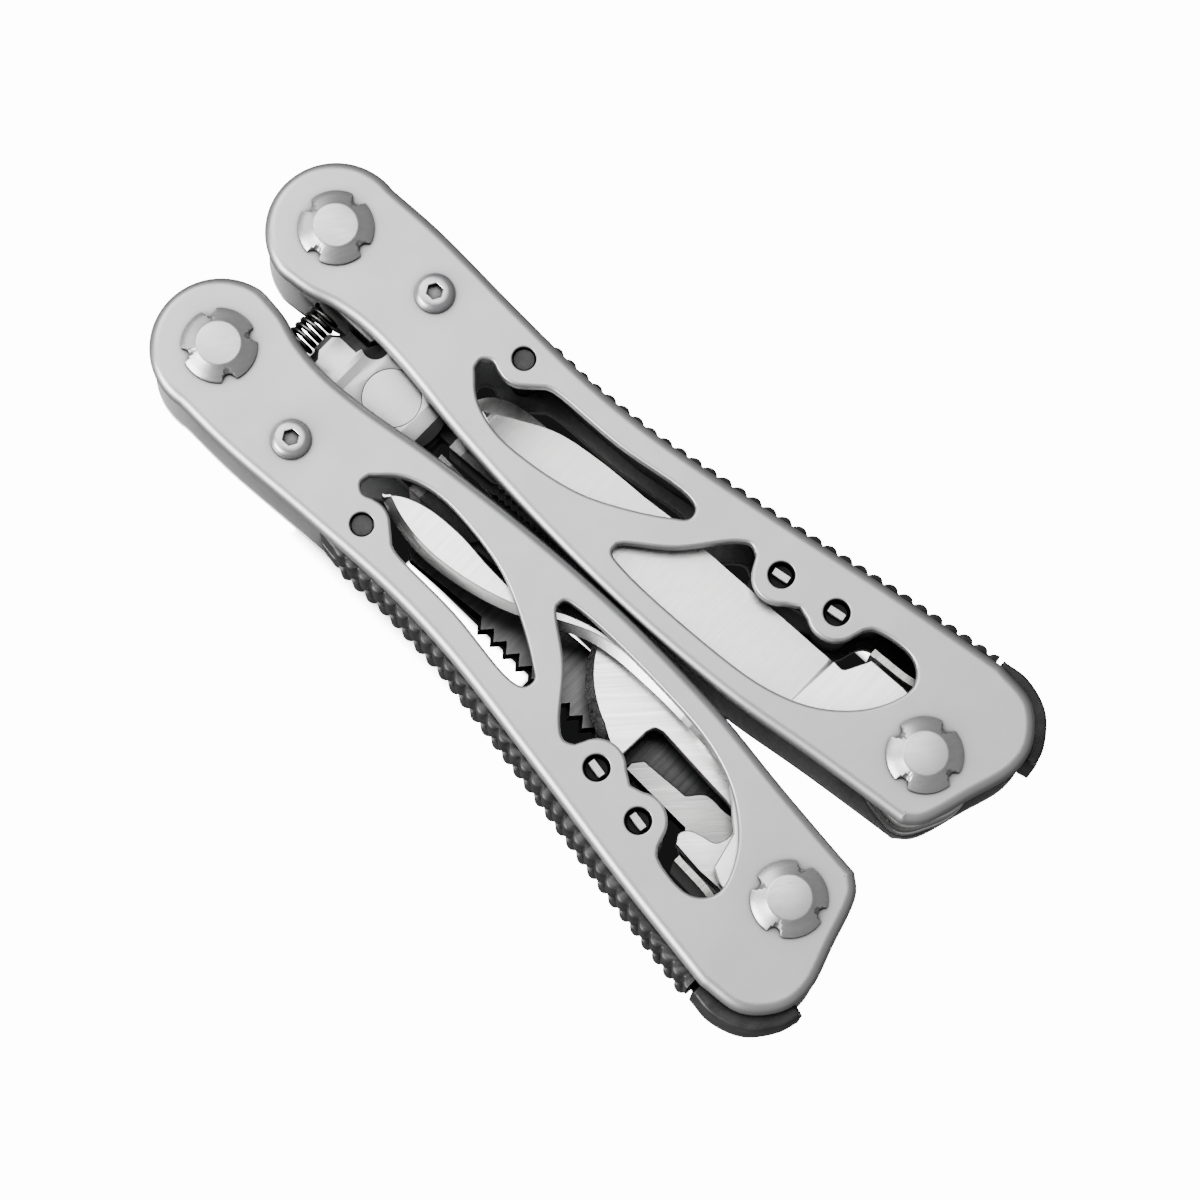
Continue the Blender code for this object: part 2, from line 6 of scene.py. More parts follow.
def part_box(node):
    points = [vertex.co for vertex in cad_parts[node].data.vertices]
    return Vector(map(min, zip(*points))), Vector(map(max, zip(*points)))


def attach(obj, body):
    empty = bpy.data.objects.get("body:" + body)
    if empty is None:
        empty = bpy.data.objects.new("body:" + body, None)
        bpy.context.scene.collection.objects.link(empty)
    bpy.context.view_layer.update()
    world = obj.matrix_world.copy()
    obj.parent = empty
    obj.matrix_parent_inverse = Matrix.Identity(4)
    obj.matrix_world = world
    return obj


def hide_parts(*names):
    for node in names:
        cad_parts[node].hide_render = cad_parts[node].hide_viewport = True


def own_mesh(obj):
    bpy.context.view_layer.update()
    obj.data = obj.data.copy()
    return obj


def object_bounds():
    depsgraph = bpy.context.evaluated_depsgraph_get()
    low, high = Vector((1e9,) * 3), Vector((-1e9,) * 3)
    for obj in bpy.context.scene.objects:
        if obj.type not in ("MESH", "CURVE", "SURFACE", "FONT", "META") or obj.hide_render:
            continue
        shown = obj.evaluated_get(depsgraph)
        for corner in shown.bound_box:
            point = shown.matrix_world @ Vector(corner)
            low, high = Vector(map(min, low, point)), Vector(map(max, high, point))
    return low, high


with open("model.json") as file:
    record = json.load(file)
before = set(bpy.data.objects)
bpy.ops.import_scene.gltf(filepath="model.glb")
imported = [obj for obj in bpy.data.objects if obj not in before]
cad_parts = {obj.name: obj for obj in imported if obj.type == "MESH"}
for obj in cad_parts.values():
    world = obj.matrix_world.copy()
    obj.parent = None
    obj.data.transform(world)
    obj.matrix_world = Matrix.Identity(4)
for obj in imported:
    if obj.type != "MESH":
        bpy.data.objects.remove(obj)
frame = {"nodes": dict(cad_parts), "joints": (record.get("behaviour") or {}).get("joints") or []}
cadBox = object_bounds()
print("frame loaded:", len(frame["nodes"]), "nodes")

mm = 0.001
sides = {"left": -1, "right": 1}
joints = {j["name"]: j for j in frame["joints"]}


def jointAt(name):
    return Vector(joints[name]["pos_m"]) / mm


def heights(node):
    low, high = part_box(node)
    return low.z / mm, high.z / mm


# main heights and pivots, all in mm, read from the frame
backFace, cavityFloor = heights("back_plate_left")
cavityRoof, frontFace = heights("front_plate_left")
midHeight = (cavityFloor + cavityRoof) / 2
jawPivot = jointAt("jaw_hinge")
armPivots = {side: jointAt("fold_" + side) for side in sides}
bladePivots = {"left": jointAt("pen_blade_pivot"), "right": jointAt("main_knife_pivot")}


# outlines: s runs from arm pivot to blade pivot, t points outward

def arcPoints(centre, radius, start, end, steps):
    out = []
    for i in range(steps + 1):
        a = math.radians(start + (end - start) * i / steps)
        out.append((centre[0] + radius * math.cos(a), centre[1] + radius * math.sin(a)))
    return out


def circlePoints(centre, radius, steps=48):
    return arcPoints(centre, radius, 0, 360 * (steps - 1) / steps, steps - 1)


def smoothLine(points, steps=8):   # centripetal curve through the points
    pts = [Vector(p) for p in points]
    out = []
    for i in range(len(pts) - 1):
        p1, p2 = pts[i], pts[i + 1]
        p0 = pts[i - 1] if i else p1 * 2 - p2
        p3 = pts[i + 2] if i + 2 < len(pts) else p2 * 2 - p1
        t1 = (p1 - p0).length ** 0.5
        t2 = t1 + (p2 - p1).length ** 0.5
        t3 = t2 + (p3 - p2).length ** 0.5
        for k in range(steps):
            t = t1 + (t2 - t1) * k / steps
            a1 = p0 * ((t1 - t) / t1) + p1 * (t / t1)
            a2 = p1 * ((t2 - t) / (t2 - t1)) + p2 * ((t - t1) / (t2 - t1))
            a3 = p2 * ((t3 - t) / (t3 - t2)) + p3 * ((t - t2) / (t3 - t2))
            b1 = a1 * ((t2 - t) / t2) + a2 * (t / t2)
            b2 = a2 * ((t3 - t) / (t3 - t1)) + a3 * ((t - t1) / (t3 - t1))
            c = b1 * ((t2 - t) / (t2 - t1)) + b2 * ((t - t1) / (t2 - t1))
            out.append((c.x, c.y))
    out.append((pts[-1].x, pts[-1].y))
    return out


def insetLine(points, distance):   # closed outline, counter-clockwise, moved inwards
    out = []
    count = len(points)
    for i, p in enumerate(points):
        along = (Vector(points[(i + 1) % count]) - Vector(points[i - 1])).normalized()
        out.append((p[0] - along.y * distance, p[1] + along.x * distance))
    return out


def ccw(points):
    area = sum(a[0] * b[1] - b[0] * a[1] for a, b in zip(points, points[1:] + points[:1]))
    return points if area > 0 else points[::-1]


def readKnots(knots, s):   # value on the straight lines between (s, value) knots
    if s <= knots[0][0]:
        return knots[0][1]
    for (s0, v0), (s1, v1) in zip(knots, knots[1:]):
        if s <= s1:
            return v0 + (v1 - v0) * (s - s0) / (s1 - s0)
    return knots[-1][1]


def onHandle(side, s, t):
    pivot = armPivots[side]
    along = (bladePivots[side] - pivot).normalized()
    outward = Vector((-along.y, along.x, 0)) * sides[side]
    p = pivot + along * s + outward * t
    return p.x, p.y


def handleLine(side, points):
    return [onHandle(side, s, t) for s, t in points]


# meshes

def skinRings(bm, lower, upper):
    for i in range(len(lower)):
        j = (i + 1) % len(lower)
        bm.faces.new((lower[i], lower[j], upper[j], upper[i]))


def capRings(bm, rings):
    verts = [v for ring in rings for v in ring]
    for tri in tessellate_polygon([[v.co for v in ring] for ring in rings]):
        bm.faces.new([verts[i] for i in tri])


def addSolid(bm, levels, holes=()):   # levels and holes: lists of (height, outline), bottom to top
    bottom, top = [], []
    for stack in (levels, *holes):
        rings = [[bm.verts.new((x, y, z)) for x, y in line] for z, line in stack]
        for lower, upper in zip(rings, rings[1:]):
            skinRings(bm, lower, upper)
        bottom.append(rings[0])
        top.append(rings[-1])
    capRings(bm, bottom)
    capRings(bm, top)


def addChamfered(bm, line, low, high, edge):   # block with broken edges
    line = ccw(line)
    small = insetLine(line, edge)
    addSolid(bm, [(low, small), (low + edge, line), (high - edge, line), (high, small)])


def addGrid(bm, rows):   # rows of points joined to a tube with flat ends
    rings = [[bm.verts.new(p) for p in row] for row in rows]
    for lower, upper in zip(rings, rings[1:]):
        skinRings(bm, lower, upper)
    bm.faces.new(rings[0])
    bm.faces.new(rings[-1])


def finishPiece(name, bm, material, body, nodes, sharp=30):
    bmesh.ops.recalc_face_normals(bm, faces=bm.faces)
    bm.transform(Matrix.Scale(mm, 4))
    mesh = bpy.data.meshes.new(name)
    bm.to_mesh(mesh)
    bm.free()
    mesh.shade_smooth()
    mesh.set_sharp_from_angle(angle=math.radians(sharp))
    mesh.materials.append(material)
    piece = bpy.data.objects.new(name, mesh)
    bpy.context.scene.collection.objects.link(piece)
    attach(piece, body)
    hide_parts(*nodes)
    return piece


# shader node groups

def newGroup(name, inputs, outputs):
    group = bpy.data.node_groups.new(name, "ShaderNodeTree")
    for socketName, socketType, value in inputs:
        socket = group.interface.new_socket(socketName, in_out="INPUT", socket_type=socketType)
        if value is not None:
            socket.default_value = value
    for socketName, socketType in outputs:
        group.interface.new_socket(socketName, in_out="OUTPUT", socket_type=socketType)
    source = group.nodes.new("NodeGroupInput")
    sink = group.nodes.new("NodeGroupOutput")
    return group, source, sink


def mathNode(tree, operation, a, b=None, clamp=False):
    node = tree.nodes.new("ShaderNodeMath")
    node.operation = operation
    node.use_clamp = clamp
    for socket, value in zip(node.inputs, (a, b)):
        if value is None:
            continue
        if isinstance(value, (int, float)):
            socket.default_value = value
        else:
            tree.links.new(value, socket)
    return node.outputs[0]


def noiseNode(tree, vector, scale, detail=4.0, roughness=0.6):
    node = tree.nodes.new("ShaderNodeTexNoise")
    node.inputs["Detail"].default_value = detail
    node.inputs["Roughness"].default_value = roughness
    if isinstance(scale, (int, float)):
        node.inputs["Scale"].default_value = scale
    else:
        tree.links.new(scale, node.inputs["Scale"])
    tree.links.new(vector, node.inputs["Vector"])
    return node.outputs["Fac"]


def makeBlastGrain():   # fine even pitting of a bead-blasted face
    group, source, sink = newGroup("blastGrain", [("Scale", "NodeSocketFloat", 9000.0),
                                                  ("Cloud Scale", "NodeSocketFloat", 120.0)],
                                   [("Grain", "NodeSocketFloat"), ("Cloud", "NodeSocketFloat")])
    coords = group.nodes.new("ShaderNodeTexCoord").outputs["Object"]
    group.links.new(noiseNode(group, coords, source.outputs["Scale"], 2.0), sink.inputs["Grain"])
    group.links.new(noiseNode(group, coords, source.outputs["Cloud Scale"], 3.0), sink.inputs["Cloud"])
    return group


def makeBrushLines():   # long fine scratches along one direction in the plane of the plates
    group, source, sink = newGroup("brushLines", [("Angle", "NodeSocketFloat", 0.0),
                                                  ("Density", "NodeSocketFloat", 9000.0),
                                                  ("Stretch", "NodeSocketFloat", 60.0)],
                                   [("Lines", "NodeSocketFloat"), ("Streaks", "NodeSocketFloat")])
    coords = group.nodes.new("ShaderNodeTexCoord").outputs["Object"]
    turn = group.nodes.new("ShaderNodeVectorRotate")
    turn.rotation_type = "Z_AXIS"
    group.links.new(coords, turn.inputs["Vector"])
    group.links.new(source.outputs["Angle"], turn.inputs["Angle"])
    split = group.nodes.new("ShaderNodeSeparateXYZ")
    group.links.new(turn.outputs[0], split.inputs[0])
    join = group.nodes.new("ShaderNodeCombineXYZ")
    group.links.new(mathNode(group, "DIVIDE", split.outputs[0], source.outputs["Stretch"]), join.inputs[0])
    group.links.new(split.outputs[1], join.inputs[1])
    group.links.new(split.outputs[2], join.inputs[2])
    group.links.new(noiseNode(group, join.outputs[0], source.outputs["Density"], 3.0, 0.7),
                    sink.inputs["Lines"])
    coarse = mathNode(group, "MULTIPLY", source.outputs["Density"], 0.22)
    group.links.new(noiseNode(group, join.outputs[0], coarse, 3.0, 0.6), sink.inputs["Streaks"])
    return group


def makeEdgeWear():   # mask that is white along edges, broken up by noise
    group, source, sink = newGroup("edgeWear", [("Amount", "NodeSocketFloat", 1.0),
                                                ("Width", "NodeSocketFloat", 0.00012)],
                                   [("Wear", "NodeSocketFloat")])
    rounded = group.nodes.new("ShaderNodeBevel")
    rounded.samples = 4
    group.links.new(source.outputs["Width"], rounded.inputs["Radius"])
    turned = group.nodes.new("ShaderNodeVectorMath")
    turned.operation = "DOT_PRODUCT"
    group.links.new(rounded.outputs["Normal"], turned.inputs[0])
    group.links.new(group.nodes.new("ShaderNodeNewGeometry").outputs["Normal"], turned.inputs[1])
    coords = group.nodes.new("ShaderNodeTexCoord").outputs["Object"]
    patch = noiseNode(group, coords, 900.0, 4.0)
    edge = mathNode(group, "MULTIPLY", mathNode(group, "SUBTRACT", 1.0, turned.outputs["Value"]), 7.0, True)
    mask = mathNode(group, "MULTIPLY", edge, mathNode(group, "MULTIPLY", patch, 1.5, True), True)
    group.links.new(mathNode(group, "MULTIPLY", mask, source.outputs["Amount"], True), sink.inputs["Wear"])
    return group


def makeGapShade():   # painted shade: base colour darkened where ambient occlusion finds faces lying deep between the plates
    group, source, sink = newGroup("gapShade", [("Reach", "NodeSocketFloat", 0.006),
                                                ("Depth", "NodeSocketFloat", 0.2)],
                                   [("Shade", "NodeSocketFloat")])
    hidden = group.nodes.new("ShaderNodeAmbientOcclusion")
    hidden.samples = 6
    group.links.new(source.outputs["Reach"], hidden.inputs["Distance"])
    share = mapValue(group, hidden.outputs["AO"], 0, 1, 0.38, 0.9)
    span = mathNode(group, "SUBTRACT", 1.0, source.outputs["Depth"])
    lifted = mathNode(group, "ADD", mathNode(group, "MULTIPLY", share, span), source.outputs["Depth"])
    group.links.new(lifted, sink.inputs["Shade"])
    return group


def mapValue(tree, value, low, high, fromLow=0.0, fromHigh=1.0):
    node = tree.nodes.new("ShaderNodeMapRange")
    tree.links.new(value, node.inputs["Value"])
    node.inputs["From Min"].default_value = fromLow
    node.inputs["From Max"].default_value = fromHigh
    node.inputs["To Min"].default_value = low
    node.inputs["To Max"].default_value = high
    return node.outputs["Result"]


blastGrain = makeBlastGrain()
gapShade = makeGapShade()
brushLines = makeBrushLines()
edgeWear = makeEdgeWear()


def placeGroup(tree, group, **values):
    node = tree.nodes.new("ShaderNodeGroup")
    node.node_tree = group
    for name, value in values.items():
        node.inputs[name.replace("_", " ")].default_value = value
    return node


def mixColour(tree, factor, a, b):
    node = tree.nodes.new("ShaderNodeMix")
    node.data_type = "RGBA"
    tree.links.new(factor, node.inputs["Factor"])
    for socket, value in ((node.inputs["A"], a), (node.inputs["B"], b)):
        if isinstance(value, tuple):
            socket.default_value = (*value, 1)
        else:
            tree.links.new(value, socket)
    return node.outputs["Result"]


def shadeColour(tree, colour, depth):   # colour times the gap shade
    shade = placeGroup(tree, gapShade, Depth=depth).outputs["Shade"]
    node = tree.nodes.new("ShaderNodeMix")
    node.data_type = "RGBA"
    node.blend_type = "MULTIPLY"
    node.inputs["Factor"].default_value = 1
    tree.links.new(colour, node.inputs["A"])
    tree.links.new(shade, node.inputs["B"])
    return node.outputs["Result"]


def addBump(tree, shader, height, strength, distance):
    bump = tree.nodes.new("ShaderNodeBump")
    bump.inputs["Strength"].default_value = strength
    bump.inputs["Distance"].default_value = distance
    tree.links.new(height, bump.inputs["Height"])
    tree.links.new(bump.outputs["Normal"], shader.inputs["Normal"])


def startMaterial(name, metallic):
    material = bpy.data.materials.new(name)
    material.use_nodes = True
    shader = material.node_tree.nodes["Principled BSDF"]
    shader.inputs["Metallic"].default_value = metallic
    shader.inputs["Specular IOR Level"].default_value = 0.25
    return material, material.node_tree, shader


def blastedMetal(name, look):
    material, tree, shader = startMaterial(name, look["metallic"])
    grain = placeGroup(tree, blastGrain, Scale=look["grainScale"], Cloud_Scale=look["cloudScale"])
    wear = placeGroup(tree, edgeWear, Amount=look["wear"])
    cloud = mapValue(tree, grain.outputs["Cloud"], 0, 1, 0.3, 0.7)
    tone = mixColour(tree, cloud, look["dark"], look["light"])
    colour = mixColour(tree, wear.outputs["Wear"], tone, look["worn"])
    tree.links.new(shadeColour(tree, colour, look.get("gap", 0.05)), shader.inputs["Base Color"])
    rough = mapValue(tree, grain.outputs["Grain"], look["roughness"] - 0.05, look["roughness"] + 0.05,
                     0.3, 0.7)
    tree.links.new(rough, shader.inputs["Roughness"])
    addBump(tree, shader, grain.outputs["Grain"], look["bump"], look["depth"])
    return material


def brushedMetal(name, look):
    material, tree, shader = startMaterial(name, look["metallic"])
    lines = placeGroup(tree, brushLines, Angle=look["angle"], Density=look["density"],
                       Stretch=look["stretch"])
    wear = placeGroup(tree, edgeWear, Amount=look["wear"])
    streaks = mapValue(tree, lines.outputs["Streaks"], 0, 1, 0.3, 0.7)
    tone = mixColour(tree, streaks, look["dark"], look["light"])
    colour = mixColour(tree, wear.outputs["Wear"], tone, look["worn"])
    tree.links.new(shadeColour(tree, colour, look.get("gap", 0.05)), shader.inputs["Base Color"])
    rough = mapValue(tree, lines.outputs["Lines"], look["roughness"] - 0.06, look["roughness"] + 0.08,
                     0.3, 0.7)
    tree.links.new(rough, shader.inputs["Roughness"])
    addBump(tree, shader, lines.outputs["Lines"], look["bump"], look["depth"])
    return material


# gap in a look: the least share of base colour that the painted gap shade leaves in the deepest places
plateLook = dict(metallic=0.9, dark=(0.42, 0.42, 0.43), light=(0.465, 0.465, 0.475),
                 worn=(0.80, 0.80, 0.80), wear=0.6, roughness=0.42, grainScale=14000.0, cloudScale=160.0,
                 bump=0.12, depth=0.00002)
boltLook = dict(metallic=0.95, dark=(0.46, 0.46, 0.47), light=(0.51, 0.51, 0.52), worn=(0.92, 0.92, 0.92),
                wear=0.5, roughness=0.36, angle=0.6, density=9000.0, stretch=12.0, bump=0.10,
                depth=0.00001)
bladeLook = dict(metallic=1.0, dark=(0.86, 0.86, 0.85), light=(0.94, 0.94, 0.93), worn=(0.97, 0.97, 0.97),
                 wear=0.4, gap=0.72, roughness=0.33, angle=0.0, density=8000.0, stretch=70.0, bump=0.10,
                 depth=0.00001)
openerLook = dict(bladeLook, gap=0.4, angle=0.75, density=3200.0, stretch=40.0, bump=0.22, roughness=0.30)
plierLook = dict(metallic=0.95, dark=(0.52, 0.52, 0.52), light=(0.60, 0.60, 0.595),
                 worn=(0.88, 0.88, 0.88), wear=0.5, roughness=0.36, grainScale=8000.0, cloudScale=300.0,
                 bump=0.15, depth=0.00003)
# black oxide of the grip parts, its colour deepened further as painted shade for the dark inside of the
# handles
oxideAndShadeLook = dict(metallic=0.5, dark=(0.030, 0.030, 0.031), light=(0.060, 0.060, 0.060),
                 worn=(0.20, 0.20, 0.19), wear=0.6, roughness=0.40, grainScale=6000.0, cloudScale=500.0,
                 bump=0.3, depth=0.00004)
blackLook = dict(metallic=0.0, dark=(0.010, 0.010, 0.010), light=(0.022, 0.022, 0.022),
                 worn=(0.10, 0.10, 0.10), wear=0.5, roughness=0.6, grainScale=6000.0, cloudScale=500.0,
                 bump=0.2, depth=0.00003)
springLook = dict(metallic=1.0, dark=(0.26, 0.26, 0.25), light=(0.38, 0.38, 0.37),
                  worn=(0.75, 0.75, 0.74), wear=0.5, roughness=0.22, angle=0.2, density=6000.0,
                  stretch=20.0, bump=0.1, depth=0.00001)

satinPlate = blastedMetal("satinPlate", plateLook)
turnedBolt = brushedMetal("turnedBolt", boltLook)
bladeSteel = brushedMetal("bladeSteel", bladeLook)
openerSteel = brushedMetal("openerSteel", openerLook)
plierSteel = blastedMetal("plierSteel", plierLook)
gripOxideAndShade = blastedMetal("gripOxideAndShade", oxideAndShadeLook)
blackOxide = blastedMetal("blackOxide", blackLook)
springSteel = brushedMetal("springSteel", springLook)
# saw steel painted near black, darker than the other blades, as painted shade for the shadow the saw lies in;
# its low gap share deepens the painted gap shade too
sawSteelPaintedShade = brushedMetal("sawSteelPaintedShade", dict(bladeLook, dark=(0.06, 0.06, 0.06), light=(0.11, 0.11, 0.11),
                                         worn=(0.4, 0.4, 0.4), gap=0.15))
hookSteel = brushedMetal("hookSteel", dict(openerLook, dark=(0.38, 0.38, 0.38), light=(0.46, 0.46, 0.45),
                                           density=6000.0))
print("materials made")


# handle plates

plateShape = dict(rim=1.1, lip=0.35, holeEdge=0.14, windowEdge=0.32, holeSteps=48)

roundEnd = arcPoints((0, -0.1), 7.6, 80, 262, 64)
innerEdge = smoothLine([(-1.06, -7.63), (2.5, -7.25), (5.5, -6.4), (9.5, -5.95), (15, -6.3), (25, -7.85),
                        (40, -9.35), (52, -9.8), (65, -9.3), (75, -8.1), (84, -7.2), (86.9, -6.95)], 8)
bladeEnd = smoothLine([(86.9, -6.95), (88.6, -5.4), (90.6, 0.2), (92.1, 5.2), (91.6, 8.6), (88.6, 11.9),
                       (83.5, 12.75)], 8)
outerEdge = smoothLine([(83.5, 12.75), (70, 11.0), (55, 8.65), (40, 6.6), (31, 6.2), (20, 6.7), (8, 7.45),
                        (1.32, 7.38)], 8)
plateLine = roundEnd[:-1] + innerEdge[1:-1] + bladeEnd[:-1] + outerEdge[:-1]
edgeKnots = [(20, 6.7), (31, 6.2), (40, 6.6), (55, 8.65), (70, 11.0), (83.5, 12.75)]

screwAt = (12.62, 1.83)
anchorAt = (24.38, 3.04)
gripPinsAt = [(60.12, 4.17), (67.10, 5.12)]
leverAt = (85.4, 10.2)
bladeEye = (84.0, 0.0)

nub = smoothLine([(21.2, -1.2), (21.1, -0.1), (22.1, 0.6), (23.3, 0.2)], 6)
roof = smoothLine([(28.2, 2.35), (29.2, 2.65), (38, 2.9), (47.2, 3.85), (48.7, 3.3), (48.9, 2.1),
                   (47.4, 0.85), (43.5, -1.5), (38.5, -3.7), (32.5, -4.8), (27.5, -4.85), (23.8, -3.6),
                   (21.2, -1.2)], 6)
upperWindow = nub[:-1] + arcPoints(anchorAt, 3.0, -98, -52, 12) + roof[:-1]
slant = smoothLine([(45.15, -5.2), (45.6, -4.6), (50.0, -1.25), (54.2, 3.6), (55.6, 4.45), (56.9, 3.9)], 6)
rest = smoothLine([(70.5, 5.6), (71.3, 6.45), (75.6, 7.05), (77.4, 6.2), (78.3, 4.4), (76.6, 0.1),
                   (72.5, -3.7), (67, -5.85), (58, -6.7), (47.2, -6.6), (45.3, -6.1), (45.15, -5.2)], 6)
lowerWindow = (slant[:-1] + arcPoints(gripPinsAt[0], 3.15, -160, -42, 20) + [(63.9, 3.0)]
               + arcPoints(gripPinsAt[1], 3.1, -125, -12, 20) + rest[:-1])

plateHoles = [((0, 0), 1.8), (bladeEye, 1.8), (screwAt, 1.55), (anchorAt, 1.3), (gripPinsAt[0], 1.45),
              (gripPinsAt[1], 1.45)]


def rimLevels(line, inner, outer):   # flat inner face, straight lip, rolled rim, flat outer face
    rim, lip, up = plateShape["rim"], plateShape["lip"], (1 if outer > inner else -1)
    rise = abs(outer - inner) - lip
    levels = [(inner, insetLine(line, 0.1)), (inner + 0.1 * up, line), (inner + lip * up, line)]
    for k in range(1, 9):
        a = math.radians(90 * k / 8)
        levels.append((inner + (lip + rise * math.sin(a)) * up, insetLine(line, rim * (1 - math.cos(a)))))
    levels.append((outer, insetLine(line, rim + 0.12)))
    return levels if up > 0 else levels[::-1]


def holeLevels(line, inner, outer, edge):
    up = 1 if outer > inner else -1
    levels = [(inner, insetLine(line, -0.08)), (inner + 0.08 * up, line)]
    for k in range(5):
        a = math.radians(90 * k / 4)
        levels.append((outer - edge * (1 - math.sin(a)) * up, insetLine(line, -edge * (1 - math.cos(a)))))
    levels.append((outer, insetLine(line, -edge - 0.07)))
    return levels if up > 0 else levels[::-1]


def makePlate(label, side, inner, outer):
    bm = bmesh.new()
    outline = ccw(handleLine(side, plateLine))
    holes = []
    for at, radius in plateHoles:
        ring = ccw(handleLine(side, circlePoints(at, radius, plateShape["holeSteps"])))
        holes.append(holeLevels(ring, inner, outer, plateShape["holeEdge"]))
    for window in (upperWindow, lowerWindow):
        holes.append(holeLevels(ccw(handleLine(side, window)), inner, outer, plateShape["windowEdge"]))
    addSolid(bm, rimLevels(outline, inner, outer), holes)
    node = label + "_plate_" + side
    finishPiece(label.title() + "Plate" + side.title(), bm, satinPlate, "handle_" + side,
                [node], 40)


for side in sides:
    makePlate("front", side, cavityRoof, frontFace)
    makePlate("back", side, cavityFloor, backFace)
print("plates made")


# pivot bolts, nuts and button screws

boltShape = dict(shaft=1.5, gap=0.1, steps=192)
notchTurn = {("arm", "right"): 5, ("arm", "left"): 29, ("blade", "right"): 3, ("blade", "left"): -20}


def notchedRing(centre, radius, dip, turn):
    out = []
    steps = boltShape["steps"]
    for i in range(steps):
        a = 2 * math.pi * i / steps
        away = abs((a - turn + math.pi / 4) % (math.pi / 2) - math.pi / 4) * radius
        r = radius - (math.sqrt(max(0.0, dip * dip - away * away)))
        out.append((centre[0] + r * math.cos(a), centre[1] + r * math.sin(a)))
    return out


def addHeadLevels(bm, side, at, facing, profile, turn, shaftEnd):
    # profile: (radius, rise above the seat, notch radius)
    seat = frontFace + boltShape["gap"] if facing > 0 else backFace - boltShape["gap"]
    centre = onHandle(side, *at)
    levels = []
    for radius, rise, dip in [(boltShape["shaft"], None, 0)] + profile:
        height = shaftEnd if rise is None else seat + rise * facing
        levels.append((height, notchedRing(centre, radius, dip, turn)))
    if facing < 0:
        levels = levels[::-1]
    addSolid(bm, levels)


boltProfile = [(1.5, 0.0, 0), (3.95, 0.001, 0.8), (4.08, 0.1, 0.8), (4.1, 0.2, 0.8), (4.06, 0.33, 0.8),
               (3.97, 0.42, 0.72), (3.4, 0.73, 0.44), (2.9, 1.0, 0.12), (2.5, 1.21, 0), (2.43, 1.255, 0),
               (2.36, 1.28, 0), (2.25, 1.3, 0)]
for side in sides:
    for label, at in (("arm", (0, 0)), ("blade", bladeEye)):
        ahead = onHandle(side, at[0] + 1, at[1])
        centre = onHandle(side, *at)
        along = math.atan2(ahead[1] - centre[1], ahead[0] - centre[0])
        turn = along + sides[side] * math.radians(notchTurn[label, side])
        for kind, facing, shaftEnd in (("bolt", 1, backFace + 0.8), ("nut", -1, backFace + 0.5)):
            bm = bmesh.new()
            addHeadLevels(bm, side, at, facing, boltProfile, turn, shaftEnd)
            finishPiece(label.title() + kind.title() + side.title(), bm, turnedBolt, "handle_" + side,
                        [label + "_" + kind + "_" + side], 24)


screwShape = dict(head=2.2, height=1.1, neck=1.25, dome=0.98, domeAngle=78, socket=0.8, steps=96)


def hexRing(centre, across, steps):
    out = []
    for i in range(steps):
        a = 2 * math.pi * i / steps
        r = across / math.cos((a + math.pi / 6) % (math.pi / 3) - math.pi / 6)
        out.append((centre[0] + r * math.cos(a), centre[1] + r * math.sin(a)))
    return out


def makeSpacerScrew(side, facing):
    seat = frontFace + 0.1 if facing > 0 else backFace - 0.1
    centre = onHandle(side, *screwAt)
    steps = screwShape["steps"]
    head, neck, dome = screwShape["head"], screwShape["neck"], screwShape["dome"]
    top = seat + screwShape["height"] * facing
    levels = [(seat - 1.7 * facing, circlePoints(centre, neck, steps)),
              (seat, circlePoints(centre, neck, steps)),
              (seat + 0.001 * facing, circlePoints(centre, head - 0.08, steps)),
              (seat + 0.08 * facing, circlePoints(centre, head, steps))]
    for k in range(1, 9):
        a = math.radians(screwShape["domeAngle"] * k / 8)
        levels.append((seat + (0.12 + dome * math.sin(a)) * facing,
                       circlePoints(centre, head - dome * (1 - math.cos(a)), steps)))
    levels.append((top, circlePoints(centre, 1.1, steps)))
    levels.append((top, hexRing(centre, screwShape["socket"] + 0.08, steps)))
    levels.append((seat + 1.04 * facing, hexRing(centre, screwShape["socket"], steps)))
    levels.append((seat + 0.15 * facing, hexRing(centre, screwShape["socket"], steps)))
    bm = bmesh.new()
    addSolid(bm, levels if facing > 0 else levels[::-1])
    word = "Front" if facing > 0 else "Back"
    finishPiece("SpacerScrew" + word + side.title(), bm, turnedBolt, "handle_" + side,
                ["spacer_screw_" + word.lower() + "_" + side], 32)


for side in sides:
    makeSpacerScrew(side, 1)
    makeSpacerScrew(side, -1)
print("bolts and screws made")


# pins

pinShape = dict(anchor=1.22, grip=1.15, sink=0.6, barLength=2.4, barWidth=0.9, barSlope=0.156)


def makePin(name, side, at, radius, low, high, node):
    bm = bmesh.new()
    centre = onHandle(side, *at)
    levels = [(low, circlePoints(centre, radius - 0.12)), (low + 0.1, circlePoints(centre, radius)),
              (high - 0.1, circlePoints(centre, radius)), (high, circlePoints(centre, radius - 0.12))]
    addSolid(bm, levels)
    finishPiece(name, bm, gripOxideAndShade, "handle_" + side, [node])


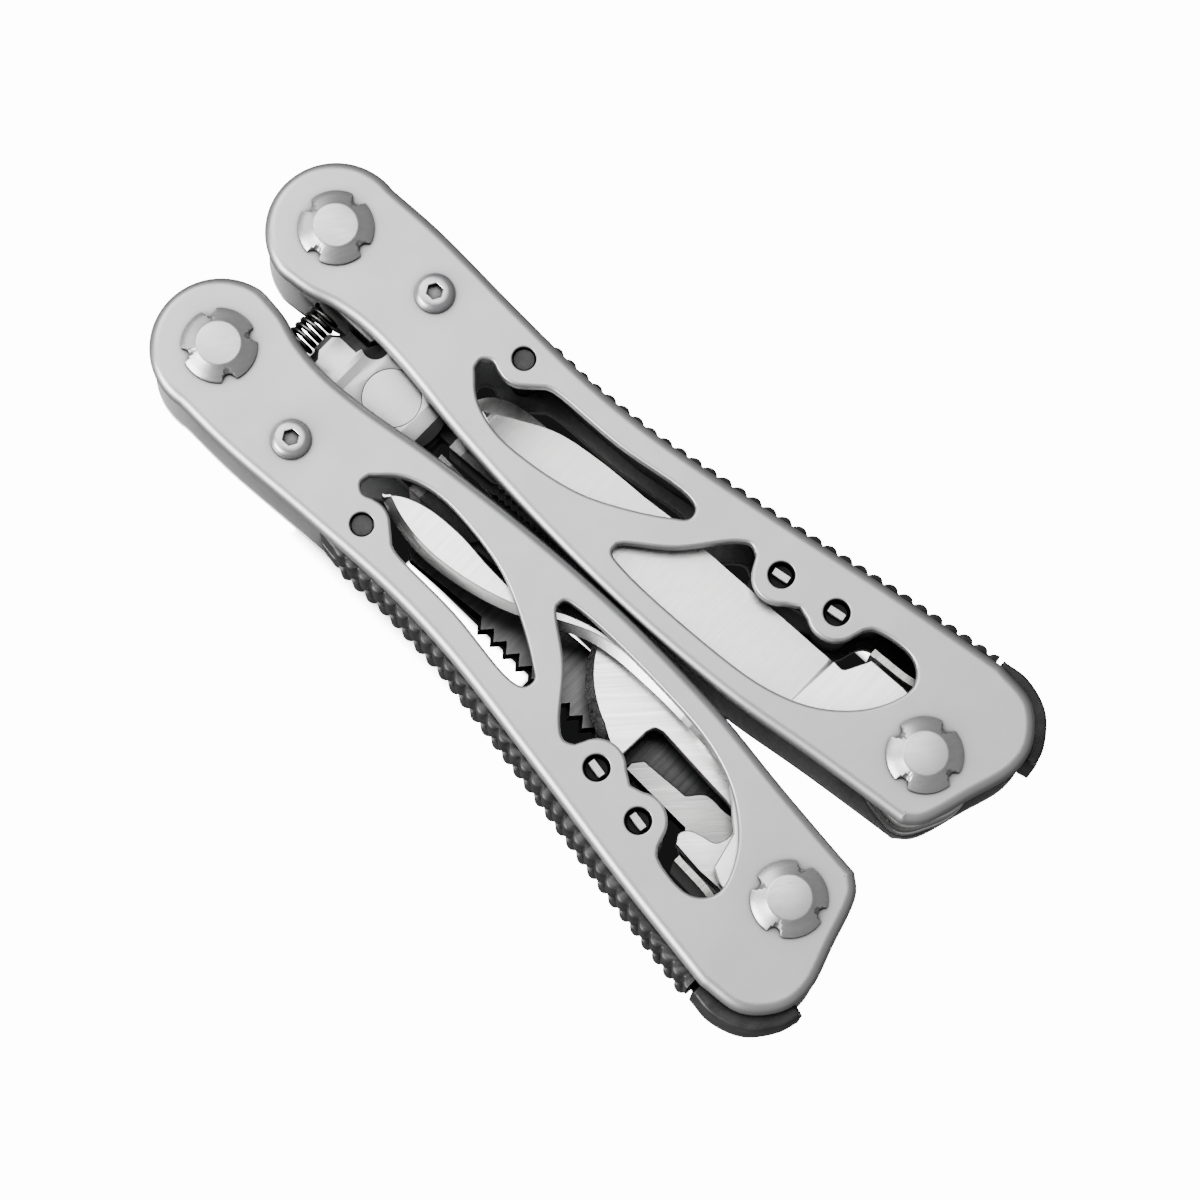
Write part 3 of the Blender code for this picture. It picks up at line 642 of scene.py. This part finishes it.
def makeGripPin(side, label, at):   # round pin whose ends carry a bright flat bar
    centre = Vector(onHandle(side, *at))
    along = (Vector(onHandle(side, at[0] + 1, at[1] + pinShape["barSlope"])) - centre).normalized()
    across = Vector((-along.y, along.x))
    body = bmesh.new()
    radius = pinShape["grip"]
    low, high = backFace + 1.3, frontFace - 1.3
    addSolid(body, [(low, circlePoints(centre, radius)), (high, circlePoints(centre, radius))])
    half, wide = pinShape["barLength"] / 2 * 0.86, pinShape["barWidth"] / 2
    bar = []
    for i in range(32):
        a = 2 * math.pi * i / 32
        u = max(-1.0, min(1.0, 1.35 * math.cos(a))) * half
        v = max(-1.0, min(1.0, 1.35 * math.sin(a))) * wide
        bar.append(tuple(centre + along * u + across * v))
    bar = ccw(bar)
    small = insetLine(bar, 0.1)
    for zStart, zEnd in ((low - 0.9, low + 0.1), (high - 0.1, high + 0.9)):
        if zStart < low:
            addSolid(body, [(zStart, small), (zStart + 0.1, bar), (zEnd, bar)])
        else:
            addSolid(body, [(zStart, bar), (zEnd - 0.1, bar), (zEnd, small)])
    piece = finishPiece("GripPin" + label.upper() + side.title(), body, blackOxide, "handle_" + side,
                        ["grip_pin_" + label + "_" + side])
    piece.data.materials.append(turnedBolt)
    for face in piece.data.polygons:
        if not low - 0.01 < face.center.z / mm < high + 0.01:
            face.material_index = 1


pinLook = dict(metallic=0.9, dark=(0.20, 0.20, 0.20), light=(0.34, 0.34, 0.34), worn=(0.62, 0.62, 0.62),
               wear=0.6, roughness=0.34, grainScale=6000.0, cloudScale=500.0, bump=0.2, depth=0.00003)
pinSteel = blastedMetal("pinSteel", pinLook)
for side in sides:
    makePin("AnchorPin" + side.title(), side, anchorAt, pinShape["anchor"], backFace + pinShape["sink"],
            frontFace - pinShape["sink"], "anchor_pin_" + side)
    for label, at in zip("ab", gripPinsAt):
        makeGripPin(side, label, at)
print("pins made")


# knurled grip spines, lock levers and leaf springs

spineShape = dict(teeth=31, pitch=1.88, first=24.5, toothHeight=0.55, startRise=0.25, endRise=0.85,
                  perTooth=8)


def toothRise(s, shift, side):
    shape = spineShape
    lower = 0.35 if side == "right" else 0.0
    phase = ((s - shape["first"]) / shape["pitch"] + shift) % 1.0
    bump = max(0.0, math.sin(math.pi * min(1.0, phase / 0.86))) ** 0.55
    share = max(0.0, min(1.0, (s - shape["first"]) / (shape["teeth"] * shape["pitch"])))
    ramp = max(0.0, min(1.0, (s - 23.2) / 2.2))
    rise = shape["startRise"] + (shape["endRise"] - shape["startRise"]) * share
    return rise - lower + shape["toothHeight"] * bump * ramp


def spineOutline(side, shift, sink):
    shape = spineShape
    outer = [(20.4, readKnots(edgeKnots, 20.4) - 1.1), (21.2, readKnots(edgeKnots, 21.2) - 0.3 - sink)]
    steps = shape["teeth"] * shape["perTooth"] + 10
    start, end = 21.9, shape["first"] + shape["teeth"] * shape["pitch"]
    for i in range(steps + 1):
        s = start + (end - start) * i / steps
        lift = toothRise(s, shift, side) if s > 23.2 else 0.25 * (s - start) / 1.3
        outer.append((s, readKnots(edgeKnots, s) + lift - sink))
    inner = [(end, readKnots(edgeKnots, end) - 2.0), (72.0, readKnots(edgeKnots, 72) - 2.6)]
    inner += arcPoints(gripPinsAt[1], 2.2, 20, -120, 20) + arcPoints(gripPinsAt[0], 2.2, -60, -200, 20)
    for s, depth in ((56.5, 2.2), (48, 2.2), (40, 2.2), (31, 2.0), (26.5, 1.9)):
        inner.append((s, readKnots(edgeKnots, s) - depth))
    return outer + inner


def makeSpine(side):
    low, high = cavityFloor + 0.3, cavityRoof - 0.3
    heightsAndShifts = [(low, 0.0, 0.35), (low + 0.25, 0.0, 0.1), (low + 0.6, 0.0, 0.0),
                        (midHeight - 0.45, 0.12, 0.0), (midHeight - 0.12, 0.2, 0.5),
                        (midHeight + 0.12, 0.3, 0.5), (midHeight + 0.45, 0.38, 0.0),
                        (high - 0.6, 0.5, 0.0), (high - 0.25, 0.5, 0.1), (high, 0.5, 0.35)]
    levels = []
    holes = [[], []]
    for height, shift, sink in heightsAndShifts:
        levels.append((height, ccw(handleLine(side, spineOutline(side, shift, sink)))))
        for k, at in enumerate(gripPinsAt):
            holes[k].append((height, ccw(handleLine(side, circlePoints(at, 1.45, 32)))))
    bm = bmesh.new()
    addSolid(bm, levels, holes)
    finishPiece("GripSpine" + side.title(), bm, gripOxideAndShade, "handle_" + side,
                ["grip_spine_" + side], 50)


def roundedLevels(line, low, high, edge, steps=4):
    levels = []
    for k in range(steps + 1):
        a = math.radians(90 * k / steps)
        levels.append((low + edge * (1 - math.cos(a)), insetLine(line, edge * (1 - math.sin(a)))))
    for k in range(steps + 1):
        a = math.radians(90 * k / steps)
        levels.append((high - edge * (1 - math.sin(a)), insetLine(line, edge * (1 - math.cos(a)))))
    return levels


def makeLever(side):
    pad = smoothLine([(83.4, 13.7), (86.5, 13.95), (90.2, 12.6), (92.6, 9.6), (93.3, 7.4)], 10)
    inside = [(92.2, 7.1), (90.2, 7.4)] + smoothLine([(89.5, 8.4), (88.2, 8.9), (85.5, 8.5), (83.4, 9.2)], 5)
    line = ccw(handleLine(side, pad + inside))
    low, high = cavityFloor + 1.0, cavityRoof - 1.0
    hole = ccw(handleLine(side, circlePoints(leverAt, 1.1, 32)))
    levels = roundedLevels(line, low, high, 0.35)
    bm = bmesh.new()
    addSolid(bm, levels, [[(low, hole), (high, hole)]])
    finishPiece("LockLever" + side.title(), bm, gripOxideAndShade, "lever_" + side,
                ["lock_lever_" + side], 40)


def makeLeafSpring(side):
    lower = smoothLine([(72.5, 4.45), (78.2, 4.9), (79.3, 5.6), (79.6, 8.6)], 8)
    upper = smoothLine([(78.7, 8.6), (78.5, 6.4), (77.9, 5.8), (72.5, 5.3)], 8)
    bm = bmesh.new()
    addChamfered(bm, handleLine(side, lower + upper), cavityFloor + 0.3, cavityRoof - 0.3, 0.08)
    finishPiece("LeafSpring" + side.title(), bm, springSteel, "handle_" + side,
                ["leaf_spring_" + side], 35)


for side in sides:
    makeSpine(side)
    makeLever(side)
    makeLeafSpring(side)
print("spines, levers and leaf springs made")


# blades: back line, ground edge line, then the heel to the tang

bladeShape = dict(edgeLand=0.05, chamfer=0.12, tang=6.2, corner=0.9, cornerAngle=-64, cornerSpread=20,
                  bore=1.8)


def tangLine(start=140, end=-140, steps=56):   # round heel with a soft corner towards the other handle
    shape = bladeShape
    out = []
    for i in range(steps + 1):
        angle = start + (end - start) * i / steps
        offset = (angle - shape["cornerAngle"]) / shape["cornerSpread"]
        radius = shape["tang"] + shape["corner"] * math.exp(-offset ** 2)
        a = math.radians(angle)
        out.append((bladeEye[0] + radius * math.cos(a), bladeEye[1] + radius * math.sin(a)))
    return out


def makeBlade(name, side, material, back, edge, heel, grind, taper=None):
    # grind(s): how far the ground face reaches from the edge towards the back
    # taper: (s, thickness share) knots
    low, high = heights(name)
    middle = (low + high) / 2
    chamfer, land = bladeShape["chamfer"], bladeShape["edgeLand"]
    backByS = sorted(back)
    full = back + edge + heel
    ground = []
    for i, (s, t) in enumerate(full):
        isEdge = len(back) <= i < len(back) + len(edge)
        if isEdge:
            room = max(0.0, t - readKnots(backByS, s))
            ground.append((s, t - max(0.02, min(grind(s), 0.92 * room))))
        else:
            ground.append((s, t))
    full += tangLine()
    ground += tangLine()
    fullLine, groundLine = handleLine(side, full), handleLine(side, ground)
    area = sum(a[0] * b[1] - b[0] * a[1] for a, b in zip(fullLine, fullLine[1:] + fullLine[:1]))
    if area < 0:
        fullLine, groundLine = fullLine[::-1], groundLine[::-1]
    smallLine = insetLine(groundLine, chamfer)
    levels = [(low, smallLine), (low + chamfer, groundLine), (middle - land, fullLine),
              (middle + land, fullLine), (high - chamfer, groundLine), (high, smallLine)]
    bore = ccw(handleLine(side, circlePoints(bladeEye, bladeShape["bore"], 48)))
    bm = bmesh.new()
    addSolid(bm, levels, [[(low, bore), (high, bore)]])
    if taper:
        pivot = armPivots[side]
        along = (bladePivots[side] - pivot).normalized()
        for s, share in taper:
            bmesh.ops.bisect_plane(bm, geom=list(bm.verts) + list(bm.edges) + list(bm.faces),
                                   plane_co=pivot + along * s, plane_no=along)
        for v in bm.verts:
            s = (v.co - pivot).dot(along)
            v.co.z = middle + (v.co.z - middle) * readKnots(taper, s)
    finishPiece(name.replace("_", " ").title().replace(" ", ""), bm, material, name, [name], 4)


def steady(width, start, end):   # constant grind width that runs out between two places
    return lambda s: width * max(0.0, min(1.0, (end - s) / (end - start)))


knifeBack = smoothLine([(77.0, -5.9), (70, -6.9), (58, -7.4), (45, -7.1), (35, -6.3), (28.5, -5.2),
                        (24.4, -3.85)])
knifeEdge = smoothLine([(24.4, -3.85), (28, -1.9), (32, -0.1), (37, 0.7), (45, 1.05), (58, 1.2),
                        (69.4, 1.33), (70.2, 1.35)], 10)
knifeHeel = smoothLine([(70.9, 1.3), (71.5, 1.35), (72.3, 2.6), (73.1, 4.1)], 5) + [(77.5, 4.2)]
makeBlade("main_knife", "right", bladeSteel, knifeBack[:-1], knifeEdge, knifeHeel, steady(9.0, 69.4, 70.2))

serratedBack = smoothLine([(77.0, -5.5), (60, -6.6), (45, -6.4), (31, -5.4), (25, -4.4), (21.5, -2.8)])
serratedEdge = smoothLine([(21.5, -2.8), (23.0, -0.6), (25.5, 0.6), (31, 1.0), (38, 0.9)], 10)
serrations = [(39 + i * 0.4, 0.15 + 0.85 * abs(math.cos(math.pi * i / 8)) ** 1.6) for i in range(72)]
makeBlade("serrated_knife", "right", bladeSteel, serratedBack[:-1], serratedEdge + serrations,
          [(68.5, 1.2), (72.0, 1.3), (73.4, 4.0), (77.5, 4.2)], steady(4.2, 67.6, 68.4))

penBack = smoothLine([(77.0, -5.8), (70, -6.6), (60, -7.0), (51, -6.9), (46.5, -5.6), (42.5, -3.6),
                      (37.5, -3.4), (32, -3.75), (27.5, -3.3), (24.6, -2.1), (23.4, -0.8)])
penEdge = smoothLine([(23.4, -0.8), (26.5, 0.25), (30.5, 0.75), (35, 0.35), (40, -0.9), (45, -3.0),
                      (50.5, -5.4), (58, -6.1), (70, -5.6)], 10)
makeBlade("pen_blade", "left", bladeSteel, penBack[:-1], penEdge, [(75, -1.2), (76, 2.8), (77.5, 3.6)],
          steady(0.9, 60.0, 69.5))

sawBack = smoothLine([(77.0, -5.2), (60, -5.9), (45, -5.2), (34, -3.4), (29, -0.9), (28.3, 0.3),
                      (29.2, 1.0)], 8)
sawTeeth = [(39.0 + (i // 2) * 1.9 + (i % 2) * 0.95, 0.5 + (i % 2) * 1.1) for i in range(32)]
makeBlade("wood_saw", "left", sawSteelPaintedShade, sawBack, sawTeeth,
          [(70.0, 0.6), (72.3, 1.4), (73.6, 4.0), (77.5, 4.2)], lambda s: 0.5)

openerEdge = smoothLine([(50.1, -5.7), (50.8, -4.2), (53, -1.6), (56.5, 0.6), (60.6, 1.6)], 8)
openerNotch = smoothLine([(60.75, -2.9), (61.1, -3.7), (62.0, -4.05)], 4)
openerHeel = smoothLine([(69, -3.6), (73.4, -3.1), (74.7, -1.3), (74.2, 0.5), (72.6, 1.0), (71.2, 1.6),
                         (70.7, 2.6), (71.3, 3.6)], 6)
makeBlade("can_opener", "left", openerSteel, [(77.0, -5.6), (72, -6.3), (60, -6.6), (51, -6.4)],
          openerEdge, openerNotch + openerHeel + [(75, 3.9), (77.5, 3.8)], steady(1.1, 57.0, 60.5))

hookBack = smoothLine([(77.0, -4.9), (73, -3.0), (69.8, -2.8), (68.3, -1.2)], 6)
hookHeel = smoothLine([(71.0, 1.9), (71.6, 3.4), (74, 4.0), (77.5, 4.2)], 4)
makeBlade("bottle_hook", "left", hookSteel, hookBack + [(62.6, -0.8), (61.7, 0.3), (61.8, 1.2)],
          [(63.6, 1.6), (67, 1.65), (70.6, 1.7)], hookHeel, lambda s: 0.35)

makeBlade("flat_driver", "right", bladeSteel,
          [(76.5, -4.4), (72.5, -2.1), (53, -2.1), (48.5, -3.2), (44.2, -3.1)], [(43.5, -2.9), (43.5, 1.5)],
          [(44.2, 1.6), (48.5, 1.9), (53, 0.9), (71.5, 0.9), (74, 3.8), (77.5, 4.1)], lambda s: 0.0,
          [(43.4, 0.42), (50.5, 1.0), (90.0, 1.0)])
makeBlade("metal_file", "right", hookSteel,
          [(76.5, -4.8), (72.5, -4.3), (44.2, -4.1), (43.5, -3.4)], [(43.5, 0.5)],
          [(44.2, 1.3), (71.5, 1.3), (73.8, 3.9), (77.5, 4.1)], lambda s: 0.0)
print("blades made")


# pliers: blocks joined by Booleans, then softened edges

plierShape = dict(lap=6.3, relief=6.6, armHalf=4.2, jawHalf=2.9, boss=5.0, rivet=3.2, seat=3.25, bevel=0.14,
                  lean=math.tan(math.radians(3)), toothPitch=0.9, toothDepth=0.28)


def convexHull(points):
    points = sorted(set(points))
    chains = []
    for sequence in (points, points[::-1]):
        chain = []
        for p in sequence:
            while len(chain) > 1:
                (ax, ay), (bx, by) = chain[-2:]
                if (bx - ax) * (p[1] - ay) - (by - ay) * (p[0] - ax) > 0:
                    break
                chain.pop()
            chain.append(p)
        chains.append(chain[:-1])
    return chains[0] + chains[1]


def makePlierHalf(side):
    sign = sides[side]
    shape = plierShape
    scratch = []

    def place(points):
        return ccw([(-sign * x, jawPivot.y + y) for x, y in points])

    def block(levels):   # levels: (height above the middle towards this half's lap, outline)
        levels = sorted((midHeight - sign * z, place(points)) for z, points in levels)
        bm = bmesh.new()
        addSolid(bm, levels)
        bmesh.ops.recalc_face_normals(bm, faces=bm.faces)
        mesh = bpy.data.meshes.new("block")
        bm.to_mesh(mesh)
        bm.free()
        part = bpy.data.objects.new("block", mesh)
        bpy.context.scene.collection.objects.link(part)
        scratch.append(part)
        return part

    def straight(points, low, high):
        return block([(low, points), (high, points)])

    arm, jaw, reach = shape["armHalf"], shape["jawHalf"], 40.0
    rise = armPivots[side].y - jawPivot.y
    eye = (-abs(armPivots[side].x), rise)
    body = convexHull(circlePoints(eye, shape["boss"], 64) + circlePoints((0, 0), shape["lap"], 96))
    body = [p for p in body if p[1] > -5.0] + [(-3.83, -5.0), (3.83, -5.0)]
    body.sort(key=lambda p: math.atan2(p[1] - 4, p[0] + 4))
    neck = [(-4.2, 3.5), (1.0, 3.5), (1.0, 9.2), (0.4, 9.9), (-1.6, 9.9), (-2.4, 9.2), (-4.2, 9.0)]
    neckTop = [(-4.15, 3.5), (0.95, 3.5), (0.95, 8.6), (0.4, 9.2), (-1.6, 9.2), (-2.4, 8.6), (-4.15, 8.4)]
    inner = [(0.15 + shape["lean"] * 7.9, -7.9), (0.15 + shape["lean"] * 14, -14.0)]
    y = -14.0
    while y > -32.0:
        inner.append((0.15 + shape["lean"] * abs(y - 0.45) + shape["toothDepth"],
                      y - shape["toothPitch"] * 0.5))
        y -= shape["toothPitch"]
        inner.append((0.15 + shape["lean"] * abs(y), y))
    jawLine = [(5.6, -7.9)] + inner + [(0.15 + shape["lean"] * 33, -33.0), (2.9, -33.6), (3.7, -32.8),
                                       (4.7, -17.2), (5.6, -16.6)]
    recess = (2.9, 5.2)
    root = [(5.1, -2.5), (0.7, -2.5), (0.9, -10.5), (5.1, -10.5)]

    half = straight(body, -arm, arm)
    outside = [(-2.9, 4.4), (reach, 4.4), (reach, reach), (-2.9, reach)]
    steps = [("DIFFERENCE", straight(outside, -reach, reach)),
             ("DIFFERENCE", straight(circlePoints((0, 0), shape["relief"], 96), -reach, 0.15)),
             ("UNION", straight(circlePoints(eye, shape["boss"] - 0.1, 64), -4.9, 4.9)),
             ("UNION", straight(circlePoints((0, 0), shape["lap"] - 0.06, 96), 0.3, arm - 0.02)),
             ("UNION", block([(0.35, neck), (arm - 0.8, neck), (arm - 0.04, neckTop)])),
             ("UNION", straight(root, 0.25, jaw - 0.2)),
             ("UNION", straight(jawLine, -jaw, jaw)),
             ("DIFFERENCE", straight(circlePoints(recess, 1.5, 32), arm - 0.9, reach)),
             ("DIFFERENCE", straight(circlePoints(eye, 1.9, 48), -reach, reach)),
             ("DIFFERENCE", straight(circlePoints((0, 0), shape["seat"], 96), -reach, reach))]
    for operation, cutter in steps:
        modifier = half.modifiers.new(operation.title(), "BOOLEAN")
        modifier.operation = operation
        modifier.solver = "EXACT"
        modifier.object = cutter
    soften = half.modifiers.new("Soften", "BEVEL")
    soften.width = shape["bevel"]
    soften.segments = 2
    soften.angle_limit = math.radians(40)
    soften.use_clamp_overlap = True
    evaluated = half.evaluated_get(bpy.context.evaluated_depsgraph_get())
    bm = bmesh.new()
    bm.from_mesh(evaluated.to_mesh())
    evaluated.to_mesh_clear()
    for part in scratch:
        bpy.data.objects.remove(part)
    bandEnds = (-7.9, -9.5)
    for y in bandEnds:
        bmesh.ops.bisect_plane(bm, geom=list(bm.verts) + list(bm.edges) + list(bm.faces),
                               plane_co=(0, jawPivot.y + y, 0), plane_no=(0, 1, 0))
    piece = finishPiece("PlierHalf" + side.title(), bm, plierSteel, side + "_half",
                        ["plier_half_" + side], 30)
    piece.data.materials.append(blackOxide)
    piece.data.materials.append(jawSteelPaintedShade)
    for face in piece.data.polygons:
        below = face.center.y / mm - jawPivot.y
        depth = abs(face.center.z / mm - midHeight)
        fromRecess = math.hypot(face.center.x / mm + sign * recess[0], below - recess[1])
        inRecess = fromRecess < 1.62 and 2.5 < depth < arm - 0.05
        # faces in the band under the joint and in the recess take blackOxide; faces below the rib take the
        # dark jaw steel, which is painted shade
        if bandEnds[0] < below < -5.05 or inRecess:
            face.material_index = 1
        elif below < bandEnds[1]:
            face.material_index = 2


# jaw steel painted dark as painted shade for the jaws lying deep and in shadow between the handles
jawSteelPaintedShade = blastedMetal("jawSteelPaintedShade", dict(plierLook, metallic=0.8, dark=(0.16, 0.16, 0.162),
                                         light=(0.24, 0.24, 0.24), worn=(0.5, 0.5, 0.5), roughness=0.42))
for side in sides:
    makePlierHalf(side)

bm = bmesh.new()
rivetLine = circlePoints((jawPivot.x, jawPivot.y), plierShape["rivet"], 96)
rivetTop, rivetBottom = midHeight + plierShape["armHalf"], midHeight - plierShape["armHalf"]
addChamfered(bm, rivetLine, rivetBottom, rivetTop, 0.05)
finishPiece("PlierRivet", bm, plierSteel, "left_half", ["plier_rivet"], 30)

springShape = dict(wire=0.28, coil=1.5, turns=6, length=4.6, perTurn=36, around=12)


def makeCoilSpring():
    shape = springShape
    low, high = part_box("coil_spring")
    centre = (low + high) / 2 / mm
    bm = bmesh.new()
    rows = []
    count = shape["turns"] * shape["perTurn"]
    for i in range(count + 1):
        a = 2 * math.pi * i / shape["perTurn"]
        x = centre.x - shape["length"] / 2 + shape["length"] * i / count
        row = []
        for k in range(shape["around"]):
            b = 2 * math.pi * k / shape["around"]
            radius = shape["coil"] + shape["wire"] * math.cos(b)
            row.append((x + shape["wire"] * math.sin(b), centre.y + radius * math.cos(a),
                        centre.z + radius * math.sin(a)))
        rows.append(row)
    addGrid(bm, rows)
    return finishPiece("CoilSpring", bm, springSteel, "left_half", ["coil_spring"], 50)


coilSpring = makeCoilSpring()
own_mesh(coilSpring)
print("pliers made")


# CAD nodes that stay: barrels, washers and lever pins

for name, node in frame["nodes"].items():
    for prefix, material in (("spacer_barrel", plierSteel), ("washer", springSteel), ("lever_pin", pinSteel)):
        if name.startswith(prefix):
            node.material_slots[0].material = material
print("carried-over nodes finished")


# camera, light and floor

cameraSet = dict(place=(-76.1, -60.0, 505.4), lens=142.5, shift=(0.0295, -0.0382),
                 right=(0.6876, -0.7259, 0.0167), up=(0.7099, 0.6770, 0.1941),
                 back=(-0.1522, -0.1216, 0.9808))
camera = bpy.data.objects.new("Camera", bpy.data.cameras.new("Camera"))
bpy.context.scene.collection.objects.link(camera)
camera.data.lens = cameraSet["lens"]
camera.data.sensor_width = 36
camera.data.shift_x, camera.data.shift_y = cameraSet["shift"]
camera.data.clip_start = 0.01
camera.data.clip_end = 20
axes = [Vector(cameraSet[key]).normalized() for key in ("right", "up", "back")]
camera.matrix_world = Matrix.Translation(Vector(cameraSet["place"]) * mm) @ Matrix(axes).transposed().to_4x4()
bpy.context.scene.camera = camera

lightSet = dict(world=0.38, floorSeen=14.0, floorGlow=0.12, shadeReach=0.016)
world = bpy.data.worlds.new("Studio")
bpy.context.scene.world = world
world.use_nodes = True
background = world.node_tree.nodes["Background"]
background.inputs["Color"].default_value = (1, 1, 1, 1)
background.inputs["Strength"].default_value = lightSet["world"]

floorMaterial = bpy.data.materials.new("whiteFloorPaintedShadow")
floorMaterial.use_nodes = True
floorTree = floorMaterial.node_tree
floorTree.nodes.remove(floorTree.nodes["Principled BSDF"])
glow = floorTree.nodes.new("ShaderNodeEmission")
place = floorTree.nodes.new("ShaderNodeSeparateXYZ")
floorTree.links.new(floorTree.nodes.new("ShaderNodeTexCoord").outputs["Object"], place.inputs[0])
floorX, floorY = place.outputs[0], place.outputs[1]


def between(value, low, high, soft=0.0005):   # 1 between two limits, 0 outside
    rise = mapValue(floorTree, value, 0, 1, low, low + soft)
    fall = mapValue(floorTree, value, 1, 0, high - soft, high)
    return mathNode(floorTree, "MULTIPLY", rise, fall)


# painted shadow: the floor's glow is darkened inside the outline of the closed tool where ambient occlusion
# finds it closed in, but for one slot left white
belowArms = mathNode(floorTree, "SUBTRACT", armPivots["right"].y * mm, floorY)
lean = mathNode(floorTree, "MULTIPLY", belowArms, 0.018)
fromAxis = mathNode(floorTree, "SUBTRACT", mathNode(floorTree, "ABSOLUTE", floorX), armPivots["right"].x * mm)
fromAxis = mathNode(floorTree, "SUBTRACT", fromAxis, lean)
inHandle = mathNode(floorTree, "MULTIPLY", between(fromAxis, -0.0070, 0.0076, 0.0016),
                    between(floorY, -0.040, 0.026))
inMiddle = mathNode(floorTree, "MULTIPLY", between(fromAxis, -0.03, -0.0060),
                    between(floorY, -0.013, 0.040, 0.002))
slot = mathNode(floorTree, "MULTIPLY", between(fromAxis, 0.0002, 0.0040), between(floorY, -0.0040, 0.0145))
slot = mathNode(floorTree, "MULTIPLY", slot, between(floorX, -0.03, -0.001))
inside = mathNode(floorTree, "MAXIMUM", inHandle, inMiddle)
inside = mathNode(floorTree, "SUBTRACT", inside, slot, True)
hidden = floorTree.nodes.new("ShaderNodeAmbientOcclusion")
hidden.samples = 32
hidden.inputs["Distance"].default_value = lightSet["shadeReach"]
closedIn = mapValue(floorTree, hidden.outputs["AO"], 1, 0, 0.72, 0.97)
# dark: how strongly the painted shadow darkens the floor
dark = mathNode(floorTree, "MULTIPLY", inside, closedIn, True)
white = mapValue(floorTree, dark, lightSet["floorSeen"], 0.01)
seen = floorTree.nodes.new("ShaderNodeLightPath").outputs["Is Camera Ray"]
level = floorTree.nodes.new("ShaderNodeMix")
level.data_type = "FLOAT"
floorTree.links.new(seen, level.inputs["Factor"])
level.inputs["A"].default_value = lightSet["floorGlow"]
floorTree.links.new(white, level.inputs["B"])
floorTree.links.new(level.outputs["Result"], glow.inputs["Strength"])
floorTree.links.new(glow.outputs[0], floorTree.nodes["Material Output"].inputs["Surface"])
floorMesh = bpy.data.meshes.new("Floor")
floorSize = 3.0
floorMesh.from_pydata([(-floorSize, -floorSize, 0), (floorSize, -floorSize, 0), (floorSize, floorSize, 0),
                       (-floorSize, floorSize, 0)], [], [(0, 1, 2, 3)])
floorMesh.materials.append(floorMaterial)
floor = bpy.data.objects.new("Floor", floorMesh)
floor.location.z = -0.0005
bpy.context.scene.collection.objects.link(floor)

areaLights = [("top", (0.0, 0.50, 0.58), 0.6, 6.0), ("side", (-0.75, 0.30, 0.34), 0.5, 17.0),
              ("over", (0.13, 0.11, 0.80), 0.30, 1.7)]
for name, place, size, power in areaLights:
    data = bpy.data.lights.new(name, "AREA")
    data.size = size
    data.energy = power
    lamp = bpy.data.objects.new(name, data)
    lamp.location = place
    lamp.rotation_euler = (-Vector(place)).to_track_quat("-Z", "Y").to_euler()
    bpy.context.scene.collection.objects.link(lamp)
print("studio made")

cadBox = [list(corner) for corner in cadBox]
